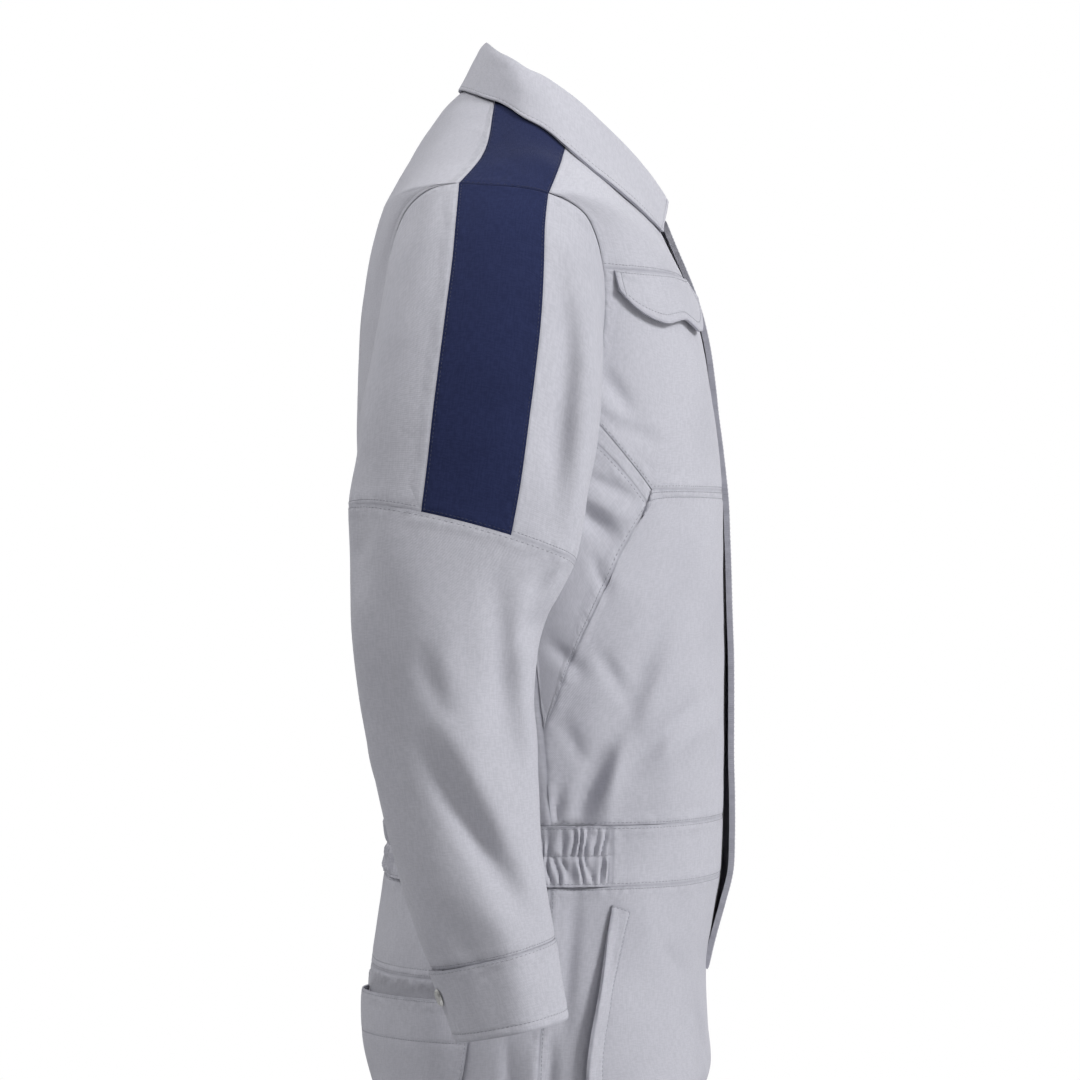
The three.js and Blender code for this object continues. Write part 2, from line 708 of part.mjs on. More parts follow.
// The waistband is flat in front and shirred by elastic round the sides and back.
function addWaistband() {
  for (const [side, label] of SIDES) {
    const from = frontEdgeRun(side, WAIST_BOTTOM, WAIST_TOP, 2);
    const to = run([at(side * ELASTIC_START, WAIST_BOTTOM), at(side * ELASTIC_START, WAIST_TOP)], 2);
    const low = run([from[0], to[0]], 6);
    const high = run([from[2], to[2]], 6);
    addCloth(`waistband_front_${label}`, torso, patch(low, high, from, to));
  }
  const columns = GATHERS * 2;
  const turn = (360 - 2 * ELASTIC_START) / GATHERS;
  addCloth(
    "waistband_elastic",
    torso,
    rectangle(ELASTIC_START, 360 - ELASTIC_START, WAIST_BOTTOM, WAIST_TOP, columns, 2),
    {
      wave: (u, i, j) => {
        const ends = smooth(Math.min(i, columns - i) / 4);
        const depth = GATHER_DEPTH * (j === 1 ? 0.55 : 1) * (1 + 0.35 * Math.sin(u * 0.9));
        return ends * (depth * Math.cos((2 * Math.PI * (u - ELASTIC_START)) / turn) + 1);
      },
    },
  );
}

function addSleeve(side, label) {
  const surface = sleeves[side];
  const seamStart = (...stops) =>
    join(
      ...stops.slice(1).map(([to, steps], k) =>
        Array.from({ length: steps + 1 }, (_, i) => sleeveTopAt(side, lerp(stops[k][0], to, i / steps))),
      ),
    );
  const piece = (name, start, from, to, material = "grey") => {
    const bow = (phi, t) => (phi === STRIPE_FRONT ? STRIPE_BOW * Math.sin(Math.PI * t) : 0);
    const down = (phi, first) =>
      SLEEVE_SHARES.map((t) => (t ? at(lerp(first.u, phi, t) + bow(phi, t), ELBOW_SEAM * t) : first));
    const end = levelLine(from, to, ELBOW_SEAM, start.length - 1);
    const grid = patch(start, end, down(from, start[0]), down(to, start.at(-1)));
    addCloth(`${name}_${label}`, surface, grid, { material });
  };
  const stripeTop = seamStart([STRIPE_BACK_TOP], [STRIPE_FRONT, 4]);
  piece("sleeve_stripe", stripeTop, STRIPE_BACK, STRIPE_FRONT, "navy");
  const frontTop = seamStart([STRIPE_FRONT], [80, 4], [130, 5], [140, 1], [180, 3]);
  piece("upper_sleeve_front", frontTop, STRIPE_FRONT, 180);
  const backTop = seamStart([180], [360 + STRIPE_BACK_TOP, 10]);
  piece("upper_sleeve_back", backTop, 180, 360 + STRIPE_BACK);
  addCloth(`lower_sleeve_${label}`, surface, rectangle(180, 540, ELBOW_SEAM, CUFF_SEAM, 22, 10));
  addCuff(side, label);
}

// The cuff laps over itself at the back of the wrist and is closed by a snap.
const CUFF_LAP_START = -92;
const CUFF_LAP_END = 304;
const CUFF_LIFT = 0.6;
const CUFF_LAP_LIFT = 2.2;
const SNAP_PHI = -74;
const SNAP_SHARE = 0.36;
const SNAP_RADIUS = 6.5;
const SNAP_HEIGHT = 1.6;
const SNAP_GAP = 0.5;
function addCuff(side, label) {
  const surface = sleeves[side];
  const columns = 22;
  addCloth(
    `cuff_${label}`,
    surface,
    rectangle(CUFF_LAP_START, CUFF_LAP_END, CUFF_SEAM, CUFF_END, columns, 2),
    {
      lift: (across) => {
        const phi = lerp(CUFF_LAP_START, CUFF_LAP_END, across);
        return CUFF_LIFT + CUFF_LAP_LIFT * (1 - smooth((phi + 40) / 60));
      },
    },
  );
  const along = lerp(CUFF_SEAM, CUFF_END, SNAP_SHARE);
  const normal = surface.normal(SNAP_PHI, along);
  const lift = CUFF_LIFT + CUFF_LAP_LIFT + SNAP_GAP + SNAP_HEIGHT / 2;
  const snap = new THREE.Mesh(
    new THREE.CylinderGeometry(SNAP_RADIUS * 0.8, SNAP_RADIUS, SNAP_HEIGHT, 14),
    materials.metal,
  );
  snap.name = `cuff_snap_${label}`;
  snap.quaternion.setFromUnitVectors(vec(0, 1, 0), normal);
  snap.position.copy(surface.base(SNAP_PHI, along)).addScaledVector(normal, lift);
  suit.add(snap);
}

// The collar: a stand on the neck seam that folds over to a fall. Each station gives the fold as
// distances out from and up from the neck seam, and the place on the body under the free edge.
const COLLAR = tracks(
  table(
    "angle foldOut foldUp edgeAngle edgeLevel",
    [7, 7, 17, 21, -31],
    [20, 5, 18, 31, -38],
    [32, 3, 19, 41, -43.4],
    [45, 1, 17, 52, -44],
    [60, -1, 16, 62, -42],
    [75, -4, 19, 74, -30],
    [90, -7, 27, 88, -14.5],
    [115, -10, 34, 115, -3.5],
    [150, -13, 34, 150, -4.5],
    [180, -14, 33, 180, -5.5],
  ),
  "angle",
);
const COLLAR_START = 7;
const STAND_SHARES = [0, 0.5, 0.92];
const FALL_SHARES = [0.05, 0.35, 0.68, 1];
const FOLD_HALF = 2.6;
const FALL_STAND_OFF = 3;

function collarStation(turn) {
  const [side, size] = sideOf(turn);
  const angle = side * size;
  const seam = torsoBase(angle, NECK);
  const out = vec(seam.x, seam.y + 17, 0).normalize();
  const seamOut = torso.normal(angle, NECK);
  const rise = seam.clone().sub(torsoBase(angle, NECK - 3)).normalize();
  const foot = seam.clone().addScaledVector(rise, LAP_GAP).addScaledVector(seamOut, -CLOTH);
  const fold = seam.clone().addScaledVector(out, COLLAR.foldOut(size));
  fold.z += COLLAR.foldUp(size);
  const beside = (sign) => fold.clone().addScaledVector(out, sign * FOLD_HALF).setZ(fold.z - FOLD_HALF);
  const lift = beside(1).sub(seam);
  const fall = FALL_SHARES.map((t) => {
    const [u, v] = [side * lerp(size, COLLAR.edgeAngle(size), t), COLLAR.edgeLevel(size) * t];
    const stand = torso.normal(u, v).multiplyScalar(FALL_STAND_OFF);
    return torsoBase(u, v).add(lift.clone().lerp(stand, smooth(t)));
  });
  return { points: [...STAND_SHARES.map((t) => foot.clone().lerp(beside(-1), t)), fold, ...fall], seamOut };
}

function addCollar() {
  const columns = 32;
  const stations = Array.from({ length: columns + 1 }, (_, i) =>
    collarStation(lerp(-COLLAR_START, COLLAR_START - 360, i / columns)),
  );
  const outer = stations.map((station) => station.points);
  const inner = outer.map((line, j) =>
    line.map((point, i) => {
      if (i === 0) return point.clone().addScaledVector(stations[j].seamOut, CLOTH);
      const alongU = outer[Math.min(j + 1, columns)][i].clone().sub(outer[Math.max(j - 1, 0)][i]);
      const alongV = line[Math.min(i + 1, line.length - 1)].clone().sub(line[i - 1]);
      return point.clone().addScaledVector(alongV.cross(alongU).normalize(), CLOTH);
    }),
  );
  addWall("collar", outer, inner, "grey");
}

// Front closure
function frontPlace(x, level) {
  return level >= WAIST_BOTTOM
    ? { point: torsoBase(frontAngle(x, level), level), normal: torso.normal(frontAngle(x, level), level) }
    : legFrontPlace(x, level);
}

function legFrontPlace(x, level) {
  const side = x < 0 ? -1 : 1;
  const share = Math.abs(x) / LEG.outer(level);
  const angle = (Math.asin(Math.pow(share, LEG.square(level) / 2)) * 180) / Math.PI;
  return { point: legs[side].base(angle, level), normal: vec(0, -1, 0) };
}

// A strip down the centre front, by distances from the centre line that may change on the way.
function addFrontStrip(name, levels, xs, liftAt, thick, material) {
  const outer = [];
  const inner = [];
  for (const level of levels) {
    const line = xs(level).map((x, i) => {
      const place = frontPlace(x, level);
      const outward = place.normal.clone().setX(0).normalize();
      return [place.point.addScaledVector(outward, liftAt(i, level)), outward];
    });
    outer.push(line.map(([p]) => p));
    inner.push(line.map(([p, outward]) => p.clone().addScaledVector(outward, -thick)));
  }
  return addWall(name, outer, inner, material);
}


const PLACKET_TOP = -3;
const ZIP_TOP = -84;
const ZIP_END = FLY_END + 8;
const ZIP_HALF = FRONT_EDGE - 0.4;

// The placket is sewn to the left front and its free edge laps over the right.
const PLACKET_EDGE = track(
  table(
    "level edge",
    [PLACKET_TOP, 9],
    [-36, 3],
    [-70, -7],
    [-100, -17],
    [-140, -PLACKET_FREE],
    [FLY_END, -PLACKET_FREE],
  ),
  "level",
  "edge",
);
// How far the placket's free edge stands off the right front.
const PLACKET_STAND = track(
  table(
    "level stand",
    [PLACKET_TOP, 6],
    [-36, 5.5],
    [-70, 4],
    [-110, 4.5],
    [-240, 2],
    [-330, 4.5],
    [-470, 6.5],
    [-560, 8],
    [-610, 4],
    [FLY_END, 0.3],
  ),
  "level",
  "stand",
);

function addClosure() {
  addFrontStrip(
    "front_placket",
    levelsFrom(FLY_END, PLACKET_TOP, 26),
    (level) => {
      const free = PLACKET_EDGE(level);
      return [free, lerp(free, PLACKET_SEWN, 0.33), lerp(free, PLACKET_SEWN, 0.66), PLACKET_SEWN];
    },
    (i, level) => OVER + [1, 0.85, 0.5, 0][i] * PLACKET_STAND(level),
    CLOTH,
    "grey",
  );
  addFrontStrip(
    "zip_tape",
    levelsFrom(ZIP_END, ZIP_TOP, 18),
    () => [-ZIP_HALF, ZIP_HALF],
    () => 0,
    1.2,
    "tape",
  );
  const place = frontPlace(0, ZIP_TOP - 7);
  const slider = new THREE.Mesh(sliderGeometry(), materials.metal);
  slider.name = "zip_slider";
  const up = vec(0, 0, 1);
  const outward = place.normal.clone().setX(0).normalize();
  const across = up.clone().cross(outward).normalize();
  const along = outward.clone().cross(across);
  slider.setRotationFromMatrix(new THREE.Matrix4().makeBasis(across, along, outward));
  slider.position.copy(place.point).addScaledVector(outward, 0.35);
  suit.add(slider);
}

// A slider with its pull lying flat below it.
function sliderGeometry() {
  const shape = new THREE.Shape();
  shape.moveTo(-3.6, 5);
  shape.lineTo(3.6, 5);
  shape.lineTo(2.6, -4);
  shape.lineTo(2.2, -20);
  shape.absarc(0, -21, 2.2, 0, -Math.PI, true);
  shape.lineTo(-2.6, -4);
  return new THREE.ExtrudeGeometry(shape, { depth: 1.4, bevelEnabled: false, curveSegments: 6 });
}

// The chest flap hangs from the yoke seam. Its drop in height gives the two lobes of its lower edge.
const FLAP_FROM = 62.8;
const FLAP_TO = 13;
const FLAP_DROP = track(
  table(
    "share drop",
    [0, 14],
    [0.06, 24],
    [0.17, 33],
    [0.28, 36.5],
    [0.42, 33.5],
    [0.5, 33],
    [0.6, 36.5],
    [0.74, 40],
    [0.88, 36],
    [0.96, 26],
    [1, 14],
  ),
  "share",
  "drop",
);

// Angles evenly spaced by the cloth's length at one real height.
function evenAngles(from, to, z, steps) {
  const fine = heightRun(1, from, to, z, 60);
  const lengths = [0];
  fine.slice(1).forEach((place, i) => {
    const step = torsoBase(place.u, place.v).distanceTo(torsoBase(fine[i].u, fine[i].v));
    lengths.push(lengths[i] + step);
  });
  const rows = lengths.map((length, i) => ({ length, angle: fine[i].u }));
  const angleAt = track(rows, "length", "angle");
  return Array.from({ length: steps + 1 }, (_, i) => angleAt((lengths.at(-1) * i) / steps));
}

function addFlap(side, label) {
  const columns = 14;
  const rows = 3;
  const angles = evenAngles(FLAP_FROM, FLAP_TO, YOKE_SEAM_HEIGHT, columns);
  const grid = Array.from({ length: rows + 1 }, (_, j) =>
    angles.map((angle, i) =>
      placeAtHeight(side, angle, YOKE_SEAM_HEIGHT - 1 - FLAP_DROP(i / columns) * (j / rows)),
    ),
  );
  addCloth(`chest_flap_${label}`, torso, grid, {
    lift: (_, down) => OVER + 0.3 + 4 * down ** 1.5,
  });
}

// Trousers
const SEAT_SEAM = -631;
const POCKET_TOP = -645;
const POCKET_FOOT = -797;
const LEG_LEVELS = [
  WAIST_BOTTOM, -582, -606, SEAT_SEAM, POCKET_TOP, -676, -710, -740, -764, -784, POCKET_FOOT, -806,
  -840, -890, -960, -1030, -1080, -1120, -1170, -1280, -1400, -1480, HEM,
];
const FRONT_COLUMNS = 8;
const BACK_COLUMNS = 9;

// The front edge of the leg is open beside the closure and meets the other leg below it.
function legFrontStart(level) {
  if (level < FLY_END) return 0;
  return (Math.asin(Math.pow(FRONT_EDGE / LEG.outer(level), LEG.square(level) / 2)) * 180) / Math.PI;
}

function addLegs(side, label) {
  const gridOf = (from, to, levels, columns) =>
    levels.map((level) => levelLine(from(level), to, level, columns));
  const backLevels = LEG_LEVELS.filter((level) => level <= SEAT_SEAM);
  const seatLevels = LEG_LEVELS.filter((level) => level >= SEAT_SEAM);
  addCloth(`leg_front_${label}`, legs[side], gridOf(legFrontStart, 90, LEG_LEVELS, FRONT_COLUMNS));
  addCloth(`seat_yoke_${label}`, legs[side], gridOf(() => 90, 180, seatLevels, BACK_COLUMNS));
  addCloth(`leg_back_${label}`, legs[side], gridOf(() => 90, 180, backLevels, BACK_COLUMNS));
}

// The slanted welt of the front pocket: sewn down its front edge, open at its rear edge.
const HIP_WELT = table(
  "level frontAngle rearAngle",
  [-577, 66, 72.7],
  [-640, 69.5, 75.6],
  [-700, 73.8, 79],
  [-745, 77, 82],
);
const WELT_EDGES = tracks(HIP_WELT, "level");
function addHipWelt(side, label) {
  const rows = 9;
  const grid = levelsFrom(HIP_WELT.at(-1).level, HIP_WELT[0].level, rows).map((level, j) =>
    [0, 0.5, 1].map((t) => {
      const angle = lerp(WELT_EDGES.rearAngle(level), WELT_EDGES.frontAngle(level), t);
      return at(angle, level - (j === rows ? 5 * t : 0));
    }),
  );
  addCloth(`hip_welt_${label}`, legs[side], grid, {
    lift: (across, up) => OVER + 0.5 + (1 - across) * (2 + 3.5 * Math.sin(Math.PI * clamp(1 - up, 0, 1))),
  });
}

// The back pocket: a patch on the leg's own rows and columns, whose mouth gapes.
const POCKET_COLUMNS = [2, 8];
const POCKET_GAPE = 9;
function addBackPocket(side, label) {
  const levels = LEG_LEVELS.filter((level) => level <= POCKET_TOP && level >= POCKET_FOOT).reverse();
  const [first, last] = POCKET_COLUMNS;
  const step = 90 / BACK_COLUMNS;
  const grid = levels.map((level) => levelLine(90 + first * step, 90 + last * step, level, last - first));
  addCloth(`back_pocket_${label}`, legs[side], grid, {
    lift: (across, up) =>
      OVER + 0.5 + POCKET_GAPE * Math.min(1, 1.8 * Math.sin(Math.PI * across)) * smooth((up - 0.35) / 0.65),
  });
}

for (const [side, label] of SIDES) {
  addFrontPanels(side, label);
  addShoulderPanel(side, label);
  addSleeve(side, label);
  addFlap(side, label);
  addLegs(side, label);
  addHipWelt(side, label);
  addBackPocket(side, label);
}
addBack();
addWaistband();
addCollar();
addClosure();

export default suit;
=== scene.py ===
# A boiler suit in light grey twill with navy shoulder stripes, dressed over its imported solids.
# Metres, +Z up. The wearer faces -Y, so the wearer's right side is at -X.
import math

import bpy
import numpy as np
from mathutils import Matrix, Vector, noise


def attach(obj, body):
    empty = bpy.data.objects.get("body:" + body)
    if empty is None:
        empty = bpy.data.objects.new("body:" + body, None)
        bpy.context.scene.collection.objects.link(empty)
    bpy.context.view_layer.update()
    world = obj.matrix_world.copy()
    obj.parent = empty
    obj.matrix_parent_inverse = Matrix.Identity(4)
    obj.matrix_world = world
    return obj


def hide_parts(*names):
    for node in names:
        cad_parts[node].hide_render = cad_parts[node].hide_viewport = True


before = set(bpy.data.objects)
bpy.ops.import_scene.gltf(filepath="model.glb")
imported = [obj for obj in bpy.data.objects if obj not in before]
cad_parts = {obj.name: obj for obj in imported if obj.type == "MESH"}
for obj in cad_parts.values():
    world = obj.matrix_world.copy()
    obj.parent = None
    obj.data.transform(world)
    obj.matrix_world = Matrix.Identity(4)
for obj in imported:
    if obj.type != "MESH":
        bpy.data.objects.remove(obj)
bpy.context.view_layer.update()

MM = 0.001
WALL = 1.2 * MM
CAD_CLOTH = 1.5 * MM
DOUBLE_CLOTH = 2.4 * MM
SEAM_GAP = 0.4 * MM
WAIST_TOP = -521 * MM
WAIST_BOTTOM = -564 * MM
WELT_LIFT = 2.6 * MM
PUFF = 8.4 * MM
SPACING = 4.0 * MM
EDGE_STEPS = np.array([0, 0.5, 1.2, 3.0]) * MM
GROOVE = 0.8 * MM
HEM_WIDTH = 6 * MM
HEM_SLOPE = 2 * MM
STITCH_PITCH = 3.2 * MM
STITCH_SIZE = (1.2 * MM, 0.3 * MM, 0.3 * MM)
STITCH_LIFT = 0.08 * MM
TOOTH_PITCH = 1.35 * MM
TOOTH_SIZE = (0.5 * MM, 1.5 * MM, 0.6 * MM)
TOOTH_ASIDE = 0.55 * MM
TOOTH_LIFT = 0.5 * MM
ZIP_END = 3 * MM


def table(names, *rows):
    """A table with named columns."""
    return [dict(zip(names.split(), row)) for row in rows]


def mix(a, b, share):
    return a + (b - a) * share


def eased(x, low, high):
    """0 below low, 1 above high and smooth between them."""
    t = np.clip((x - low) / (high - low), 0, 1)
    return t * t * (3 - 2 * t)


def unit(vectors):
    return vectors / np.maximum(np.linalg.norm(vectors, axis=-1, keepdims=True), 1e-12)


# The cloth of a solid: its outer sheet as rows and columns of points

THINNEST_CELL = 1.7 * MM


def welded(node):
    """The points and triangles of a solid, with its loose triangles joined."""
    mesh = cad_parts[node].data
    places = np.empty(len(mesh.vertices) * 3)
    mesh.vertices.foreach_get("co", places)
    places = places.reshape(-1, 3)
    mesh.calc_loop_triangles()
    corners = np.empty(len(mesh.loop_triangles) * 3, int)
    mesh.loop_triangles.foreach_get("vertices", corners)
    _, first, same = np.unique(np.round(places, 6), axis=0, return_index=True, return_inverse=True)
    return places[first], same.ravel()[corners].reshape(-1, 3)


def two_sheets(points, triangles):
    """The two sheets of a wall, without the narrow faces of its rim."""
    sides = np.linalg.norm(points[triangles] - points[np.roll(triangles, -1, axis=1)], axis=2)
    kept = triangles[sides.min(axis=1) > THINNEST_CELL].tolist()
    opposite = {(t[k], t[(k + 1) % 3]): t[(k + 2) % 3] for t in kept for k in range(3)}
    left = {frozenset(t): t for t in kept}
    sheets = []
    while left:
        waiting, sheet = [left.pop(next(iter(left)))], []
        while waiting:
            t = waiting.pop()
            sheet.append(t)
            for k in range(3):
                across = (t[(k + 1) % 3], t[k])
                beside = left.pop(frozenset((*across, opposite.get(across, -1))), None)
                if beside:
                    waiting.append(beside)
        sheets.append(sheet)
    return sheets


def rows_of(sheet):
    """The rows of a sheet whose cells are all split along the same diagonal."""
    opposite = {(t[k], t[(k + 1) % 3]): t[(k + 2) % 3] for t in sheet for k in range(3)}
    uses = np.bincount(np.array(sheet).ravel())
    onward = {a: b for a, b in opposite if (b, a) not in opposite}
    row = [next(a for a in onward if uses[a] == 2)]
    while len(row) < 2 or uses[row[-1]] == 3:
        row.append(onward[row[-1]])
    rows = [row]
    while (row[0], row[1]) in opposite:
        corners = [opposite[pair] for pair in zip(row, row[1:])]
        row = [opposite[row[0], corners[0]], *corners]
        rows.append(row)
    return np.array(rows)


SLEEVE_MIDDLE = table("z x y", (-0.652, 0.298, 0.018), (-0.314, 0.262, 0.054), (-0.162, 0.214, 0.028))
SLEEVE_NAMES = ("sleeve_stripe", "upper_sleeve", "lower_sleeve", "cuff")
LEG_NAMES = ("leg_", "seat_yoke", "hip_welt", "back_pocket")


def part_of(name):
    if name.startswith(SLEEVE_NAMES):
        return "sleeve"
    return "legs" if name.startswith(LEG_NAMES) else "body"


def middle_of(name, points):
    """The middle of the body, sleeve or leg that a piece goes round, level with each of its points."""
    side = np.sign(points[..., 0].mean())
    middle = points.copy()
    if part_of(name) == "sleeve":
        zs = [row["z"] for row in SLEEVE_MIDDLE]
        middle[..., 0] = side * np.interp(points[..., 2], zs, [row["x"] for row in SLEEVE_MIDDLE])
        middle[..., 1] = np.interp(points[..., 2], zs, [row["y"] for row in SLEEVE_MIDDLE])
        middle[..., 2] = np.minimum(points[..., 2], zs[-1])
    else:
        middle[..., 0] = side * 0.1 if part_of(name) == "legs" else 0
        middle[..., 1] = 0
    return middle


def cloth_grid(name):
    """The outer sheet of a cloth solid, rows going up and columns to the right as seen from outside."""
    points, triangles = welded(name)
    sheets = [points[rows_of(sheet)] for sheet in two_sheets(points, triangles)]

    def size(sheet):
        if name == "collar":
            return sum(np.linalg.norm(np.diff(sheet, axis=way), axis=2).sum() for way in (0, 1))
        return np.linalg.norm(sheet - middle_of(name, sheet), axis=-1).mean()

    outer = max(sheets, key=size)
    return max((np.rot90(outer, turn) for turn in range(4)), key=lambda g: (g[-1] - g[0])[:, 2].mean())


# Smooth lines through the rows and columns. Between these cosines a bend turns from a corner to a curve.

CORNER = (0.78, 0.93)
STRAIGHT_SIDES = ("side_front", "lower_front")
STRAIGHT_WIDTH = 10 * MM
EVENED_REACH = (35 * MM, 60 * MM)


def knots_of(points):
    """The distance of each point along its line, for lines that run down the first axis."""
    steps = np.linalg.norm(np.diff(points, axis=0), axis=-1)
    return np.concatenate([np.zeros_like(steps[:1]), np.cumsum(steps, axis=0)])


def spline(points, wanted, corners=True):
    """Lines through the points along the first axis, at the wanted mean distances. Each line bends by its
    own lengths, so pieces that share an edge bend alike there, and a sharp corner stays a corner."""
    knots = knots_of(points)
    width = np.diff(knots, axis=0)[..., None]
    slopes = np.diff(points, axis=0) / width
    even = np.concatenate([slopes[:1], slopes])
    if len(points) > 2:
        even[1:-1] = (slopes[:-1] * width[1:] + slopes[1:] * width[:-1]) / (width[1:] + width[:-1])
        even[0], even[-1] = 1.5 * slopes[0] - 0.5 * even[1], 1.5 * slopes[-1] - 0.5 * even[-2]
    leaving, arriving = even[:-1].copy(), even[1:].copy()
    if len(points) > 2 and corners:
        turn = (unit(slopes[:-1]) * unit(slopes[1:])).sum(axis=-1, keepdims=True)
        soft = eased(turn, *CORNER)
        leaving[1:] = mix(1.5 * slopes[1:] - 0.5 * even[2:], even[1:-1], soft)
        arriving[:-1] = mix(1.5 * slopes[:-1] - 0.5 * even[:-2], even[1:-1], soft)
    mean = knots.mean(axis=1)
    i = np.clip(np.searchsorted(mean, wanted, side="right") - 1, 0, len(mean) - 2)
    t = ((wanted - mean[i]) / (mean[i + 1] - mean[i]))[:, None, None]
    return (
        points[i] * (1 + 2 * t) * (1 - t) ** 2
        + points[i + 1] * t * t * (3 - 2 * t)
        + leaving[i] * width[i] * t * (1 - t) ** 2
        - arriving[i] * width[i] * t * t * (1 - t)
    )


def straight(points, wanted):
    """Straight lines through the points along the first axis, at the wanted mean distances."""
    mean = knots_of(points).mean(axis=1)
    i = np.clip(np.searchsorted(mean, wanted, side="right") - 1, 0, len(mean) - 2)
    return mix(points[i], points[i + 1], ((wanted - mean[i]) / (mean[i + 1] - mean[i]))[:, None, None])


def stations(length, spacing, insets):
    """Distances along a piece, close together near its two edges and beside its rows of stitches."""
    edge = EDGE_STEPS * min(1, length / (8 * EDGE_STEPS[-1]))
    steps = max(2, round((length - 2 * edge[-1]) / spacing))
    plain = [*edge, *np.linspace(edge[-1], length - edge[-1], steps + 1)[1:-1], *(length - edge[::-1])]
    close = [inset + step for inset in insets for step in (-GROOVE, 0, GROOVE)]
    close = [place for place in close if 0.4 * MM < place < length - 0.4 * MM]
    far = [place for place in plain if all(abs(place - one) > GROOVE for one in close)]
    ends = [place for place in (0, length) if place not in far]
    return np.unique(np.round(np.array(close + far + ends), 6))


class Cloth:
    """A piece of cloth as a fine grid of points, with the distance along it of each row and column."""

    def __init__(self, name, spacing=SPACING, spacing_up=None, corners=True, lines=()):
        self.name = name
        self.lines = lines
        coarse = cloth_grid(name)
        self.width = knots_of(coarse.transpose(1, 0, 2))[-1].mean()
        self.height = knots_of(coarse)[-1].mean()
        left_is_front = coarse[:, 0, 1].mean() < coarse[:, -1, 1].mean()
        self.sides = {"front": ["left" if left_is_front else "right"], "ends": ["left", "right"]}
        self.sides["rear"] = ["right" if left_is_front else "left"]
        self.u = stations(self.width, spacing, self.insets(("left", "right"), self.width))
        self.v = stations(self.height, spacing_up or spacing, self.insets(("bottom", "top"), self.height))
        across = spline(coarse.transpose(1, 0, 2), self.u, corners).transpose(1, 0, 2)
        wanted = self.v * knots_of(across)[-1].mean() / self.height
        inward = np.ones(len(self.u))
        if name.startswith(STRAIGHT_SIDES):
            inward = eased(np.minimum(self.u, self.width - self.u), 0, STRAIGHT_WIDTH)
        self.points = mix(straight(across, wanted), spline(across, wanted, corners), inward[None, :, None])
        self.refresh()
        if name.startswith("lower_front"):
            self.even_corner()

    def refresh(self):
        along_u = np.gradient(self.points, axis=1)
        along_v = np.gradient(self.points, axis=0)
        self.normals = unit(np.cross(along_u, along_v))

    def close_seams(self):
        """Draws the edges out over half of the gap that parts the solids at their seams."""
        outward = np.zeros_like(self.points)
        outward[:, 0] += unit(self.points[:, 0] - self.points[:, 1])
        outward[:, -1] += unit(self.points[:, -1] - self.points[:, -2])
        outward[0] += unit(self.points[0] - self.points[1])
        outward[-1] += unit(self.points[-1] - self.points[-2])
        self.points = self.points + outward * SEAM_GAP / 2

    def iron(self, passes=70):
        """Evens out the solid's own pleats."""
        for _ in range(passes):
            inner = (self.points[:, :-2] + 2 * self.points[:, 1:-1] + self.points[:, 2:]) / 4
            self.points[:, 1:-1] = inner
        self.refresh()

    def even_corner(self, passes=500):
        """Spreads the cells evenly beside the upper rear corner, where the solid's rows run too steeply."""
        du, dv = np.diff(self.u), np.diff(self.v)
        left, right = (1 / (step * (du[:-1] + du[1:])) for step in (du[:-1], du[1:]))
        below, above = (1 / (step * (dv[:-1] + dv[1:])) for step in (dv[:-1], dv[1:]))
        left, right = left[:, None], right[:, None]
        below, above = below[:, None, None], above[:, None, None]
        corner = self.points[-1, 0 if self.sides["rear"] == ["left"] else -1]
        away = np.linalg.norm(self.points[1:-1, 1:-1] - corner, axis=2, keepdims=True)
        held = eased(away, *EVENED_REACH)
        p = self.points
        for _ in range(passes):
            total = left * p[1:-1, :-2] + right * p[1:-1, 2:]
            total = total + below * p[:-2, 1:-1] + above * p[2:, 1:-1]
            p[1:-1, 1:-1] = mix(total / (left + right + below + above), p[1:-1, 1:-1], held)
        self.refresh()

    def insets(self, edges, length):
        """Where the rows of stitches beside two opposite edges lie, as distances from the first."""
        found = []
        for edge, inset in self.lines:
            for side in self.sides.get(edge, [edge]):
                if side in edges:
                    found.append(inset * MM if side == edges[0] else length - inset * MM)
        return found

    def grooves(self):
        """How far rows of stitches draw the cloth in, from 0 to 1."""
        depth = np.zeros(self.points.shape[:2])
        for places, along in ((self.insets(("left", "right"), self.width), self.u[None]),
                              (self.insets(("bottom", "top"), self.height), self.v[:, None])):
            for place in places:
                depth = np.maximum(depth, np.exp(-(((along - place) / GROOVE) ** 2)))
        return depth

    def move_by(self, moves):
        self.points = self.points + moves
        self.refresh()

    def raise_by(self, heights):
        self.points = self.points + self.normals * heights[..., None]
        self.refresh()

    def edge_distances(self):
        """The distance of each point from the nearer side edge, and from the nearer of top and bottom."""
        across = np.minimum(self.u, self.width - self.u)
        up = np.minimum(self.v, self.height - self.v)
        shape = self.points.shape[:2]
        return np.broadcast_to(across, shape), np.broadcast_to(up[:, None], shape)

    def at(self, u, v, field):
        """A field of the grid at places between its rows and columns."""
        i = np.clip(np.searchsorted(self.u, u, side="right") - 1, 0, len(self.u) - 2)
        j = np.clip(np.searchsorted(self.v, v, side="right") - 1, 0, len(self.v) - 2)
        s = ((u - self.u[i]) / (self.u[i + 1] - self.u[i]))[:, None]
        t = ((v - self.v[j]) / (self.v[j + 1] - self.v[j]))[:, None]
        return mix(mix(field[j, i], field[j, i + 1], s), mix(field[j + 1, i], field[j + 1, i + 1], s), t)


